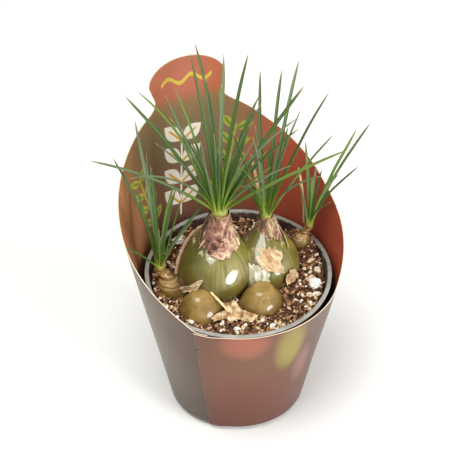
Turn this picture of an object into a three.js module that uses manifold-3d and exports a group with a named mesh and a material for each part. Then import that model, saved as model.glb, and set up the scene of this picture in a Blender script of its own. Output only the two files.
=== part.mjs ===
// A potted albuca: green bulbs with narrow leaves, in a round nursery pot that
// stands in a wrap of printed card with a tall label at its back.
//
// Millimetres, +Z up. The origin is the middle of the pot's flat underside, and
// the label stands at the back, on the +Y side. Angles round the pot are in
// degrees from +Y towards +X, and so are the directions that leaves lean in.

import * as THREE from 'three';
import { mergeVertices } from 'three/addons/utils/BufferGeometryUtils.js';
import Module from 'manifold-3d';

const wasm = await Module();
wasm.setup();

const { degToRad, lerp, clamp, smoothstep } = THREE.MathUtils;

// ---------------------------------------------------------------- dimensions

const GAP = 0.35; // clearance between touching pieces
const WALL_SLOPE = Math.tan(degToRad(11)); // taper of the pot and of its sleeve

const POT_HEIGHT = 77;
const POT_WALL = 0.9;
const POT_FLOOR = 1.4;
const POT_LIP_RADIUS = 42.6;
const POT_LIP_DEPTH = 3;
const POT_LIP_OVERHANG = 1.1;
const POT_SEGMENTS = 40;
const DRAIN_COUNT = 8;
const DRAIN_RADIUS = 3;
const DRAIN_CIRCLE = 18;

const SLEEVE_RIM_RADIUS = 43.5; // outer radius, level with the pot's rim
const SLEEVE_THICKNESS = 0.5;
const SLEEVE_FOOT = 3; // height of the lower edge above the ground
const SEAM_ANGLE = 231; // where the outer end of the wrap lies
const SEAM_LAP = 8; // how far it laps over the inner end
const LABEL_FOOT_ANGLE = 130; // the label's edge leaves the rim at this angle
const HEAD_HEIGHT = 80; // top of the label's head above the rim
const HEAD_ANGLE = 18.4; // half-width of the head
const HEAD_CENTRE = 70; // height of the head's widest place
const TOUCH_ANGLE = 205; // the sleeve meets the pot's rim here and opposite
const BULGE_LEFT = 3.1; // and stands off it half-way between, on either side
const BULGE_RIGHT = 2.4;

const SOIL_LEVEL = 71;
const SOIL_HEAP = { x: 35, y: 5, height: 10, spread: 11 };
const SOIL_BANK = { from: 32, to: 39, height: 2.4 }; // it climbs towards the pot's wall

const TOP = POT_HEIGHT;

// Bulbs: centre, radius, lean of the neck, its radius and the height of its top
// above the centre.
const BULBS = {
  bulb_main: {
    centre: [-9.3, 5.8, 78], radius: 18.4, lean: [5.3, 6.2], neck: 4.6, top: 23.5, sides: 26, roots: 7,
  },
  bulb_offset: {
    centre: [14.2, 1.2, 76], radius: 15.6, lean: [3.3, 7.3], neck: 3.2, top: 19, sides: 22, roots: 5,
  },
  bulblet_left: {
    centre: [-28.5, 8, 70], radius: 8, lean: [-5, 4], neck: 2.7, top: 10.5, sides: 16, roots: 0,
  },
  bulblet_front_left: {
    centre: [-23.4, -10.8, 71], radius: 9.8, lean: [0, 1.5], neck: 1.6, top: 9.8, sides: 18, roots: 0,
  },
  bulblet_front_right: {
    centre: [3.3, -17.3, 69.8], radius: 10, lean: [1, 1], neck: 1.4, top: 8.9, sides: 18, roots: 0,
  },
  bulblet_right: {
    centre: [33.5, 4, 79.5], radius: 4.8, lean: [4.2, 0], neck: 2.1, top: 6.8, sides: 14, roots: 0,
  },
};

// Half of a bulb's outline, in radii: out from the axis and up from the centre.
const BULB_OUTLINE = [
  [0.34, -0.93], [0.74, -0.68], [0.96, -0.25], [0.99, 0.06], [0.87, 0.38], [0.64, 0.66], [0.4, 0.91],
];

// Leaf tufts. A stated leaf is [direction, tilt at its foot, tilt at its tip,
// length, half-width]; the others follow the rule in growTuft.
const TUFTS = {
  leaves_main: {
    bulb: 'bulb_main', seed: 11, count: 28, length: [36, 78], height: 7,
    stated: [
      [-60, 26, 38, 71, 1.2], [-84, 42, 62, 70, 1.05], [-15, 6, 20, 76, 1], [112, 54, 64, 62, 1.15],
      [84, 32, 44, 66, 1.1], [30, 8, 22, 72, 1], [58, 6, 26, 74, 1],
    ],
  },
  leaves_offset: {
    bulb: 'bulb_offset', seed: 23, count: 14, length: [34, 66], height: 5,
    stated: [[45, 28, 44, 70, 1], [38, 16, 32, 66, 0.95], [74, 26, 42, 62, 0.95], [-110, 4, 14, 50, 0.9]],
  },
  leaves_left: {
    bulb: 'bulblet_left', seed: 37, count: 9, length: [30, 58], height: 4,
    stated: [
      [-46, 6, 30, 60, 1.05], [4, 12, 34, 68, 0.95], [10, 4, 20, 50, 1.1], [-112, 34, 42, 38, 0.8],
      [78, 34, 58, 38, 0.8],
    ],
  },
  leaves_right: {
    bulb: 'bulblet_right', seed: 41, count: 10, length: [24, 50], height: 4,
    stated: [[-20, 2, 10, 40, 0.9], [98, 18, 34, 58, 0.9], [72, 26, 42, 48, 0.85], [150, 8, 30, 42, 0.8]],
  },
};

// Dead leaves: the tuft that each stands beside, and its leaf as in TUFTS.
const DRY_LEAVES = {
  leaf_dry_offset: { tuft: 'leaves_offset', leaf: [-24, 4, 20, 30, 0.9] },
  leaf_dry_right: { tuft: 'leaves_right', leaf: [-50, 2, 12, 32, 0.9] },
};

const FOOT_SHARE = 0.86; // radius of a tuft's sheathed foot against its bulb's neck
const LEAF_STEPS = 7;
const GOLDEN_ANGLE = 137.5;
const OPEN_SIDE = 25; // leaves lean mostly this way, where the front bulbs leave them room
const KEEL_DEPTH = 0.85; // depth of a blade's keel against its half-width

// Torn papery tunics, each lying on a bulb: the direction and the elevation of
// its middle, seen from the bulb's centre, its mean size, its slope to the left,
// how far it tears in and how far it stands off the bulb's mean round.
const FLAKES = {
  tunic_flake_cream: {
    bulb: 'bulb_offset', at: [-166, 37], size: [6.2, 4.8], slant: 0.35, tear: 0.24, points: 7, seed: 3,
    lift: 0.6,
  },
  tunic_flake_silver: {
    bulb: 'bulb_offset', at: [-138, 7], size: [5.6, 6.4], slant: 0, tear: 0.2, points: 5, seed: 5,
    lift: 0.6,
  },
  tunic_flake_tan: {
    bulb: 'bulb_main', at: [-122, 6], size: [5, 2], slant: -0.75, tear: 0.3, points: 5, seed: 7,
    lift: 0.6,
  },
  tunic_curl: {
    bulb: 'bulb_offset', at: [162, 1], size: [3.8, 3.2], slant: 0, tear: 0.34, points: 6, seed: 13,
    lift: 0,
  },
};

// Dried edges of outer scales: the bulb, and the directions and elevations that
// each runs through from the neck down.
const EDGES = {
  tunic_edge_left: { bulb: 'bulb_main', path: [[-8, 60], [-38, 46], [-62, 34], [-76, 20], [-86, 4]] },
  tunic_edge_right: { bulb: 'bulb_offset', path: [[94, 70], [106, 62], [124, 53], [138, 42]] },
};

// Ragged collars of dry scales round the two big necks.
const COLLARS = {
  neck_tunic_main: { bulb: 'bulb_main', reach: 5.6, front: 2.4, rise: 2.6, seed: 17 },
  neck_tunic_offset: { bulb: 'bulb_offset', reach: 3.4, front: 0.6, rise: 1, seed: 19 },
};

// Each arm of the star, and each hollow between two arms: its turn and its reach.
const STAR = {
  centre: [-12, -21, 74.3],
  tilt: 34,
  thickness: 0.8,
  outline: [
    [-10, 11.2], [18, 3.4], [90, 6], [109, 3.4], [124, 5.4], [165, 3.6], [196, 11.6], [207, 9.6],
    [222, 4.4], [258, 5.4], [292, 3.4], [328, 9.6],
  ],
};
const STRAW = [[-18.4, -10.6, 79.9], [-17, -13.9, 78.4], [-15.6, -17.6, 77], [-14.8, -22, 76.4]];

// White grains on the soil: place and size.
const PERLITE = [
  { x: 29.6, y: -19.4, size: 3.4 }, { x: 34.8, y: -11, size: 1.7 }, { x: 1, y: -34, size: 1.8 },
  { x: -15.4, y: 32.8, size: 2.8 }, { x: -14, y: -29.5, size: 2 },
];

// ----------------------------------------------------------------- materials

const finish = (color, roughness, metalness = 0) => ({ color, roughness, metalness });

const FINISHES = {
  pot: finish(0x8b8a86, 0.5),
  sleeve: finish(0x9c6650, 0.35, 0.2),
  soil: finish(0x3d2a1e, 0.95),
  bulb: finish(0x76743a, 0.35),
  bulblet: finish(0x8d7836, 0.45),
  leaf: finish(0x3c6b34, 0.5),
  dry: finish(0xc9b07f, 0.8),
  tunic: finish(0xd8bc90, 0.8),
  neck: finish(0xb08a6c, 0.9),
  silver: finish(0xcac6b2, 0.7),
  perlite: finish(0xefece4, 0.9),
};

const group = new THREE.Group();

function addMesh(name, geometry, finishName) {
  const material = new THREE.MeshStandardMaterial(FINISHES[finishName]);
  const mesh = new THREE.Mesh(geometry, material);
  mesh.name = name;
  group.add(mesh);
}

// -------------------------------------------------------------- solid helpers

// Small repeatable generator (mulberry32): the same seed gives the same draws.
function seededRandom(seed) {
  let state = seed >>> 0;
  return () => {
    state = (state + 0x6d2b79f5) >>> 0;
    let mixed = Math.imul(state ^ (state >>> 15), state | 1);
    mixed ^= mixed + Math.imul(mixed ^ (mixed >>> 7), mixed | 61);
    return ((mixed ^ (mixed >>> 14)) >>> 0) / 4294967296;
  };
}

function toSolid(geometry) {
  const bare = geometry.clone();
  bare.deleteAttribute('normal');
  bare.deleteAttribute('uv');
  const welded = mergeVertices(bare, 1e-4);
  const vertProperties = new Float32Array(welded.attributes.position.array);
  const triVerts = new Uint32Array(welded.index.array);
  return new wasm.Manifold(new wasm.Mesh({ numProp: 3, vertProperties, triVerts }));
}

function toGeometry(solid) {
  const { vertProperties, triVerts } = solid.getMesh();
  const geometry = new THREE.BufferGeometry();
  geometry.setAttribute('position', new THREE.BufferAttribute(vertProperties, 3));
  geometry.setIndex(new THREE.BufferAttribute(triVerts, 1));
  return geometry;
}

const join = (solids) => solids.reduce((whole, solid) => whole.add(solid));
const cut = (solid, cutters) => cutters.reduce((rest, cutter) => rest.subtract(cutter), solid);

// The biggest of the bodies that cuts have left, with any sealed hollow filled.
function biggestBody(solid) {
  return solid.decompose().reduce((big, body) => (body.volume() > big.volume() ? body : big));
}

function polyhedron(points, triangles) {
  const geometry = new THREE.BufferGeometry();
  const positions = new Float32Array(points.flatMap((point) => point.toArray()));
  geometry.setAttribute('position', new THREE.BufferAttribute(positions, 3));
  geometry.setIndex(triangles.flat());
  return geometry;
}

// A thin sheet as one closed body: each node has a point on either face, and an
// edge that only one triangle uses is closed by a strip of wall.
function sheetGeometry(front, back, triangles) {
  const count = front.length;
  const directed = new Set(triangles.flatMap(([a, b, c]) => [`${a},${b}`, `${b},${c}`, `${c},${a}`]));
  const faces = triangles.flatMap(([a, b, c]) => [[a, b, c], [count + a, count + c, count + b]]);
  for (const edge of directed) {
    const [from, to] = edge.split(',').map(Number);
    if (!directed.has(`${to},${from}`)) {
      faces.push([to, from, count + from], [to, count + from, count + to]);
    }
  }
  return polyhedron([...front, ...back], faces);
}

// A lathe-like body from rings of points, closed by a point at each end.
function ringedGeometry(rings, bottom, top) {
  const sides = rings[0].length;
  const points = [...rings.flat(), bottom, top];
  const bottomIndex = points.length - 2;
  const topIndex = points.length - 1;
  const faces = [];
  for (let side = 0; side < sides; side += 1) {
    const next = (side + 1) % sides;
    faces.push([bottomIndex, next, side]);
    for (let ring = 0; ring + 1 < rings.length; ring += 1) {
      const low = ring * sides;
      const high = low + sides;
      faces.push([low + side, low + next, high + next], [low + side, high + next, high + side]);
    }
    const last = (rings.length - 1) * sides;
    faces.push([last + side, last + next, topIndex]);
  }
  return polyhedron(points, faces);
}

// A point at a compass angle and radius from the pot's axis.
function around(angle, radius, z) {
  const turn = degToRad(angle);
  return new THREE.Vector3(radius * Math.sin(turn), radius * Math.cos(turn), z);
}

// Unit vector for a direction round the axis and an elevation above level.
function heading(direction, elevation) {
  return around(direction, Math.cos(degToRad(elevation)), Math.sin(degToRad(elevation)));
}

// ------------------------------------------------------------------------ pot

const sleeveInside = (z) => SLEEVE_RIM_RADIUS - SLEEVE_THICKNESS + (z - TOP) * WALL_SLOPE;
const potWallOutside = (z) => POT_LIP_RADIUS - POT_LIP_OVERHANG + (z - TOP) * WALL_SLOPE;
const potWallInside = (z) => potWallOutside(z) - POT_WALL;

function makePot() {
  const lipFoot = TOP - POT_LIP_DEPTH;
  const lipTaper = POT_LIP_DEPTH * WALL_SLOPE;
  const profile = [
    [0, 0],
    [potWallOutside(0) - 0.8, 0],
    [potWallOutside(0.8), 0.8],
    [potWallOutside(lipFoot), lipFoot],
    [POT_LIP_RADIUS - lipTaper, lipFoot],
    [POT_LIP_RADIUS - 0.1, TOP - 0.5],
    [POT_LIP_RADIUS - 0.5, TOP],
    [potWallInside(TOP) + 0.3, TOP],
    [potWallInside(TOP), TOP - 0.4],
    [potWallInside(POT_FLOOR), POT_FLOOR],
    [0, POT_FLOOR],
  ].map(([radius, z]) => new THREE.Vector2(radius, z));
  const body = new THREE.LatheGeometry(profile, POT_SEGMENTS).rotateX(Math.PI / 2);
  const drains = Array.from({ length: DRAIN_COUNT }, (unused, index) => {
    const place = around((360 * index) / DRAIN_COUNT, DRAIN_CIRCLE, POT_FLOOR / 2);
    const drill = new THREE.CylinderGeometry(DRAIN_RADIUS, DRAIN_RADIUS, POT_FLOOR * 3, 10);
    return toSolid(drill.rotateX(Math.PI / 2).translate(place.x, place.y, place.z));
  });
  return toGeometry(cut(toSolid(body), drains));
}

// --------------------------------------------------------------------- sleeve

// Height above the rim and half-angle of the label's edge, from its foot up to
// the widest place of its head, through the shoulders and the waist.
const LABEL_EDGE = [
  [0, LABEL_FOOT_ANGLE], [8, 117], [16, 100], [24, 82], [32, 68], [40, 54], [48, 39], [54, 28],
  [58, 19.6], [62, 16.6], [66, 17.4], [HEAD_CENTRE, HEAD_ANGLE],
];

// The head's round top, as steps of a quarter ellipse.
const HEAD_STEPS = [22, 42, 60, 74, 83];

function labelRows() {
  const cap = HEAD_HEIGHT - HEAD_CENTRE;
  const head = HEAD_STEPS.map((step) => {
    const turn = degToRad(step);
    return [HEAD_CENTRE + cap * Math.sin(turn), HEAD_ANGLE * Math.cos(turn)];
  });
  return [...LABEL_EDGE, ...head];
}

// Radius of the sleeve's outer face at an angle and a height above the rim.
function sleeveRadius(angle, height) {
  const aside = Math.sin(degToRad(angle - TOUCH_ANGLE));
  const bulge = (aside > 0 ? BULGE_LEFT : BULGE_RIGHT) * aside ** 2;
  const lap = (SLEEVE_THICKNESS + GAP) * smoothstep(angle, SEAM_ANGLE - SEAM_LAP - 12, SEAM_ANGLE - SEAM_LAP);
  return SLEEVE_RIM_RADIUS + height * WALL_SLOPE + bulge + lap;
}

function makeSleeve() {
  const seamStart = SEAM_ANGLE - 360 - SEAM_LAP;
  const labelColumns = 22;
  const wrapColumns = 10;
  const columns = [seamStart, lerp(seamStart, -LABEL_FOOT_ANGLE, 0.5)];
  for (let step = 0; step <= labelColumns; step += 1) {
    columns.push(lerp(-LABEL_FOOT_ANGLE, LABEL_FOOT_ANGLE, step / labelColumns));
  }
  for (let step = 1; step <= wrapColumns; step += 1) {
    columns.push(lerp(LABEL_FOOT_ANGLE, SEAM_ANGLE, step / wrapColumns));
  }
  const labelStart = columns.indexOf(-LABEL_FOOT_ANGLE);

  const front = [];
  const back = [];
  const addRow = (angles, height) => {
    const first = front.length;
    for (const angle of angles) {
      const radius = sleeveRadius(angle, height);
      front.push(around(angle, radius, TOP + height));
      back.push(around(angle, radius - SLEEVE_THICKNESS, TOP + height));
    }
    return first;
  };

  const triangles = [];
  const bridge = (low, high, count) => {
    for (let step = 0; step < count; step += 1) {
      const a = low + step;
      const b = high + step;
      triangles.push([a, b, b + 1], [a, b + 1, a + 1]);
    }
  };

  const bandHeights = [SLEEVE_FOOT - TOP, -34, -14, 0];
  const bandRows = bandHeights.map((height) => addRow(columns, height));
  for (let row = 0; row + 1 < bandRows.length; row += 1) {
    bridge(bandRows[row], bandRows[row + 1], columns.length - 1);
  }
  let below = bandRows.at(-1) + labelStart;
  const labelAngles = columns.slice(labelStart, labelStart + labelColumns + 1);
  for (const [height, halfAngle] of labelRows().slice(1)) {
    const angles = labelAngles.map((angle) => (angle * halfAngle) / LABEL_FOOT_ANGLE);
    const row = addRow(angles, height);
    bridge(below, row, labelColumns);
    below = row;
  }
  return sheetGeometry(front, back, triangles);
}

// ---------------------------------------------------------------------- bulbs

// A bulb's surface point, before its neck leans: side angle, and outline step.
function bulbPoint(bulb, side, [out, up], grow) {
  const lobes = 1 + 0.025 * Math.cos(2 * side + bulb.radius) + 0.015 * Math.cos(3 * side + 1);
  const radius = bulb.radius * out * lobes + grow;
  const z = bulb.radius * up;
  const lift = clamp(z / bulb.top, 0, 1) ** 2;
  return new THREE.Vector3(
    bulb.centre[0] + radius * Math.sin(side) + bulb.lean[0] * lift,
    bulb.centre[1] + radius * Math.cos(side) + bulb.lean[1] * lift,
    bulb.centre[2] + z,
  );
}

// Fleshy roots that spread down from the bulb's base.
function rootSolids(bulb, grow) {
  const [x, y, z] = bulb.centre;
  return Array.from({ length: bulb.roots }, (unused, index) => {
    const direction = (360 * index) / bulb.roots + 15;
    const start = new THREE.Vector3(x, y, z - bulb.radius * 0.72).add(heading(direction, 0).setLength(3));
    const bend = heading(direction, -48).multiplyScalar(12).add(start);
    const end = heading(direction, -76).multiplyScalar(16).add(bend);
    return tubeSolid([start, bend, end], [1.5 + grow, 1.2 + grow, 0.6 + grow], 5, grow);
  });
}

// A tapering tube of flat sides along a path, lengthened by grow past its end.
function tubeSolid(path, radii, sides, grow = 0) {
  const along = path.map((point, index) => {
    const before = path[Math.max(index - 1, 0)];
    const after = path[Math.min(index + 1, path.length - 1)];
    return new THREE.Vector3().subVectors(after, before).normalize();
  });
  const rings = path.map((point, index) => {
    const across = new THREE.Vector3(-along[index].y, along[index].x, 0);
    if (across.length() < 1e-3) across.set(1, 0, 0);
    across.normalize();
    return Array.from({ length: sides }, (unused, side) => {
      const turned = across.clone().applyAxisAngle(along[index], (2 * Math.PI * side) / sides);
      return turned.multiplyScalar(radii[index]).add(point);
    });
  });
  const tip = path.at(-1).clone().addScaledVector(along.at(-1), radii.at(-1) * 0.7 + grow);
  const root = path[0].clone().addScaledVector(along[0], -radii[0] * 0.4);
  return toSolid(ringedGeometry(rings, root, tip));
}

// The bulb with its roots; grow swells it, for the hollow that it lies in.
function bulbSolid(name, grow = 0) {
  const bulb = BULBS[name];
  const [x, y, z] = bulb.centre;
  const neckHeight = bulb.top / bulb.radius;
  const lobed = [...BULB_OUTLINE, [bulb.neck / bulb.radius, neckHeight + grow / bulb.radius]];
  const rings = lobed.map((step) => Array.from(
    { length: bulb.sides },
    (unused, index) => bulbPoint(bulb, (-2 * Math.PI * index) / bulb.sides, step, grow),
  ));
  const bottom = new THREE.Vector3(x, y, z - bulb.radius - grow);
  const top = new THREE.Vector3(x + bulb.lean[0], y + bulb.lean[1], z + bulb.top + grow);
  const body = toSolid(ringedGeometry(rings, bottom, top));
  return join([body, ...rootSolids(bulb, grow)]);
}

const neckTop = ({ centre, lean, top }) => new THREE.Vector3(
  centre[0] + lean[0],
  centre[1] + lean[1],
  centre[2] + top,
);

// Outward distance of the bulb's surface from its centre, at an elevation.
function surfaceReach(bulb, elevation) {
  const slope = degToRad(elevation);
  const outline = [[0, -1], ...BULB_OUTLINE, [bulb.neck / bulb.radius, bulb.top / bulb.radius]];
  for (let step = 0; step + 1 < outline.length; step += 1) {
    const [outA, upA] = outline[step];
    const [outB, upB] = outline[step + 1];
    const angleA = Math.atan2(upA, outA);
    const angleB = Math.atan2(upB, outB);
    if (slope >= angleA && slope <= angleB) {
      const share = (slope - angleA) / (angleB - angleA);
      const reach = lerp(Math.hypot(outA, upA), Math.hypot(outB, upB), share);
      return reach * bulb.radius;
    }
  }
  return bulb.top;
}

// A point over the bulb's skin, at a direction and elevation and a height off it.
function onBulb(bulb, direction, elevation, height) {
  const point = heading(direction, elevation).multiplyScalar(surfaceReach(bulb, elevation) + height);
  const lift = clamp(point.z / bulb.top, 0, 1) ** 2;
  return point.add(new THREE.Vector3(
    bulb.centre[0] + bulb.lean[0] * lift,
    bulb.centre[1] + bulb.lean[1] * lift,
    bulb.centre[2],
  ));
}

// --------------------------------------------------------------------- leaves

// The path of a leaf: its tilt from upright grows evenly from foot to tip.
function leafPath(foot, [direction, footTilt, tipTilt, length], curl = 0) {
  const path = [foot.clone()];
  for (let step = 0; step < LEAF_STEPS; step += 1) {
    const share = (step + 0.5) / LEAF_STEPS;
    const tilt = lerp(footTilt, tipTilt, share);
    const stride = heading(direction + curl * share, 90 - tilt).multiplyScalar(length / LEAF_STEPS);
    path.push(path.at(-1).clone().add(stride));
  }
  return path;
}

const bladeHalfWidth = (halfWidth, share) => halfWidth * (1 - 0.35 * share ** 3);

// A blade with a flat upper face and a keel below, ending in a point.
function bladeSolid({ path, halfWidth }) {
  const rings = path.slice(0, -1).map((point, index) => {
    const next = path[index + 1];
    const before = path[Math.max(index - 1, 0)];
    const along = new THREE.Vector3().subVectors(next, before).normalize();
    const first = new THREE.Vector3().subVectors(path.at(-1), path[0]);
    const across = new THREE.Vector3(first.y, -first.x, 0).normalize();
    const up = new THREE.Vector3().crossVectors(across, along).normalize();
    const wide = bladeHalfWidth(halfWidth, index / LEAF_STEPS);
    return [
      point.clone().addScaledVector(across, wide).addScaledVector(up, wide * 0.25),
      point.clone().addScaledVector(up, -wide * KEEL_DEPTH),
      point.clone().addScaledVector(across, -wide).addScaledVector(up, wide * 0.25),
    ];
  });
  const root = path[0].clone().lerp(path[1], -0.05);
  return toSolid(ringedGeometry(rings, root, path.at(-1)));
}

// Shortest distance between two straight stretches.
function stretchDistance(startA, endA, startB, endB) {
  const alongA = new THREE.Vector3().subVectors(endA, startA);
  const alongB = new THREE.Vector3().subVectors(endB, startB);
  const between = new THREE.Vector3().subVectors(startA, startB);
  const a = alongA.dot(alongA);
  const b = alongA.dot(alongB);
  const c = alongB.dot(alongB);
  const d = alongA.dot(between);
  const e = alongB.dot(between);
  const spread = a * c - b * b;
  let shareA = spread > 1e-9 ? clamp((b * e - c * d) / spread, 0, 1) : 0;
  const shareB = clamp((b * shareA + e) / c, 0, 1);
  shareA = clamp((b * shareB - d) / a, 0, 1);
  const nearA = startA.clone().addScaledVector(alongA, shareA);
  const nearB = startB.clone().addScaledVector(alongB, shareB);
  return nearA.distanceTo(nearB);
}

function leavesClear(leafA, leafB) {
  for (let i = 0; i < LEAF_STEPS; i += 1) {
    for (let j = 0; j < LEAF_STEPS; j += 1) {
      const room = bladeHalfWidth(leafA.halfWidth, i / LEAF_STEPS)
        + bladeHalfWidth(leafB.halfWidth, j / LEAF_STEPS) + GAP;
      const apart = stretchDistance(leafA.path[i], leafA.path[i + 1], leafB.path[j], leafB.path[j + 1]);
      if (apart < room) return false;
    }
  }
  return true;
}

// Height of the sleeve's edge above the rim, at an angle round the pot.
function edgeHeight(angle) {
  const turned = Math.abs(angle);
  const rows = LABEL_EDGE.slice(0, 10);
  for (let row = 0; row + 1 < rows.length; row += 1) {
    const [low, lowAngle] = rows[row];
    const [high, highAngle] = rows[row + 1];
    if (turned <= lowAngle && turned >= highAngle) {
      return lerp(low, high, (lowAngle - turned) / (lowAngle - highAngle));
    }
  }
  return turned > LABEL_FOOT_ANGLE ? 0 : HEAD_HEIGHT;
}

// Whether a leaf stays inside the sleeve, or passes over its edge.
function clearOfSleeve({ path, halfWidth }) {
  const room = halfWidth + GAP + 0.4;
  for (let step = 0; step < LEAF_STEPS; step += 1) {
    for (const share of [0.25, 0.5, 0.75, 1]) {
      const point = path[step].clone().lerp(path[step + 1], share);
      const radius = Math.hypot(point.x, point.y);
      const angle = (Math.atan2(point.x, point.y) * 180) / Math.PI;
      const overEdge = point.z > TOP + edgeHeight(angle) + room;
      if (!overEdge && radius > sleeveInside(point.z) - room) return false;
    }
  }
  return true;
}

// Turns a leaf by a little more each time until it crosses no leaf of another
// tuft and not the sleeve; a leaf that finds no room isn't grown.
function settleLeaf(foot, leaf, curl, others) {
  for (let attempt = 0; attempt < 30; attempt += 1) {
    const turn = (attempt % 2 ? 1 : -1) * Math.ceil(attempt / 2) * 4;
    const [direction, ...form] = leaf;
    const settled = {
      path: leafPath(foot, [direction + turn, ...form], curl),
      halfWidth: leaf[4],
    };
    if (clearOfSleeve(settled) && others.every((other) => leavesClear(settled, other))) return settled;
  }
  return null;
}

// A tuft: its stated leaves, then leaves round the neck by the golden angle.
// They lean furthest to either side, and stay short and upright at the front.
function growTuft(tuft, others) {
  const bulb = BULBS[tuft.bulb];
  const random = seededRandom(tuft.seed);
  const collar = neckTop(bulb).setZ(neckTop(bulb).z + tuft.height * 0.55);
  const plans = tuft.stated.map((leaf) => ({ leaf, curl: 0, ring: 0.45 }));
  for (let index = 0; index < tuft.count; index += 1) {
    const direction = GOLDEN_ANGLE * index + 20 * random();
    const openness = 0.5 + 0.5 * Math.cos(degToRad(direction - OPEN_SIDE));
    const sideways = Math.abs(Math.sin(degToRad(direction - OPEN_SIDE)));
    const footTilt = 4 + (6 + 14 * openness + 20 * sideways) * random();
    const tipTilt = footTilt + 4 + (14 + 10 * openness + 34 * sideways) * random() ** 2;
    const share = random() * (0.45 + 0.55 * openness);
    const length = lerp(tuft.length[0], tuft.length[1], share);
    const halfWidth = 0.68 + 0.27 * random();
    const curl = 44 * (random() - 0.5);
    plans.push({ leaf: [direction, footTilt, tipTilt, length, halfWidth], curl, ring: 0.2 + 0.4 * random() });
  }
  const leaves = [];
  for (const { leaf, curl, ring } of plans) {
    const foot = collar.clone().add(heading(leaf[0], 0).multiplyScalar(bulb.neck * ring));
    const settled = settleLeaf(foot, leaf, curl, others);
    if (settled) leaves.push(settled);
  }
  return leaves;
}

// The sheathed foot of a tuft, standing on the bulb's neck.
function tuftFoot(tuft) {
  const bulb = BULBS[tuft.bulb];
  const base = neckTop(bulb);
  const radius = bulb.neck * FOOT_SHARE;
  const profile = [[radius, GAP], [radius, tuft.height * 0.5], [radius * 0.62, tuft.height]];
  const rings = profile.map(([out, up]) => Array.from(
    { length: 10 },
    (unused, side) => around(-36 * side, out, up).add(base),
  ));
  const bottom = base.clone().setZ(base.z + GAP);
  const top = base.clone().setZ(base.z + tuft.height + 1);
  return toSolid(ringedGeometry(rings, bottom, top));
}

// -------------------------------------------------------------- papery pieces

// A torn, squarish patch that follows the bulb's skin.
function makeFlake({ bulb: bulbName, at, size, slant, tear, points, seed, lift }) {
  const bulb = BULBS[bulbName];
  const random = seededRandom(seed);
  const sides = points * 2;
  const rings = 3;
  const degreesPer = 180 / (Math.PI * bulb.radius);
  const crown = lift + 0.7;
  const front = [onBulb(bulb, at[0], at[1], crown)];
  const back = [onBulb(bulb, at[0], at[1], lift)];
  const raggedness = Array.from({ length: sides }, (unused, side) => {
    const turn = (2 * Math.PI * side) / sides;
    const square = (Math.cos(turn) ** 4 + Math.sin(turn) ** 4) ** -0.25;
    return square * (0.96 + tear * (2 * random() - 1));
  });
  const triangles = [];
  for (let ring = 1; ring <= rings; ring += 1) {
    for (let side = 0; side < sides; side += 1) {
      const turn = (2 * Math.PI * side) / sides;
      const out = (ring / rings) * raggedness[side];
      const aside = out * size[0] * Math.sin(turn);
      const elevation = at[1] + (out * size[1] * Math.cos(turn) + slant * aside) * degreesPer;
      const across = (aside * degreesPer) / Math.cos(degToRad(elevation));
      const curl = ring === rings ? 0.9 * random() : 0;
      front.push(onBulb(bulb, at[0] + across, elevation, crown + curl));
      back.push(onBulb(bulb, at[0] + across, elevation, lift + curl));
    }
  }
  const node = (ring, side) => (ring === 0 ? 0 : 1 + (ring - 1) * sides + (side % sides));
  for (let side = 0; side < sides; side += 1) {
    triangles.push([0, node(1, side), node(1, side + 1)]);
    for (let ring = 1; ring < rings; ring += 1) {
      triangles.push(
        [node(ring, side), node(ring + 1, side), node(ring + 1, side + 1)],
        [node(ring, side), node(ring + 1, side + 1), node(ring, side + 1)],
      );
    }
  }
  return toSolid(sheetGeometry(front, back, triangles));
}

// The dried edge of an outer scale: a narrow ribbon on edge along the skin.
function makeEdge({ bulb: bulbName, path }) {
  const bulb = BULBS[bulbName];
  const middle = path.map(([direction, elevation]) => onBulb(bulb, direction, elevation, 1.5));
  const smooth = new THREE.CatmullRomCurve3(middle).getPoints(12);
  const radii = smooth.map((point, index) => lerp(0.75, 0.55, index / (smooth.length - 1)));
  return tubeSolid(smooth, radii, 5);
}

// A ragged collar of dry scales that lies on the bulb's shoulder round its neck.
function makeCollar({ bulb: bulbName, reach, front: frontReach, rise, seed }) {
  const bulb = BULBS[bulbName];
  const random = seededRandom(seed);
  const sides = 22;
  const base = neckTop(bulb);
  const rows = [0, 1, 2, 3];
  const front = [];
  const back = [];
  const ragged = Array.from({ length: sides }, () => 0.75 + 0.5 * random());
  const crest = Array.from({ length: sides }, () => rise * (0.35 + 0.65 * random()));
  for (const row of rows) {
    for (let side = 0; side < sides; side += 1) {
      const angle = (-360 * side) / sides;
      const facing = 0.5 - 0.5 * Math.cos(degToRad(angle - OPEN_SIDE));
      const out = (reach + frontReach * facing) * ragged[side] * ((3 - row) / 3);
      const skin = shoulderPoint(bulb, angle, bulb.neck + GAP + out);
      const outward = shoulderNormal(bulb, angle, bulb.neck + GAP + out);
      const thick = lerp(0.75, 0.9, row / 3) + 0.15 * random();
      front.push(skin.clone().addScaledVector(outward, GAP + thick));
      back.push(skin.clone().addScaledVector(outward, GAP + 0.1));
    }
  }
  const inner = rows.length - 1;
  for (let side = 0; side < sides; side += 1) {
    const angle = (-360 * side) / sides;
    const wall = around(angle, bulb.neck * FOOT_SHARE + GAP + 0.25, GAP + 0.25).add(base);
    back[inner * sides + side].copy(wall);
    front[inner * sides + side].copy(wall).setZ(wall.z + 0.8 + crest[side]);
  }
  const triangles = [];
  for (let row = 0; row < inner; row += 1) {
    for (let side = 0; side < sides; side += 1) {
      const next = (side + 1) % sides;
      const low = row * sides;
      const high = low + sides;
      triangles.push([low + side, low + next, high + next], [low + side, high + next, high + side]);
    }
  }
  return toSolid(sheetGeometry(front, back, triangles));
}

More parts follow.
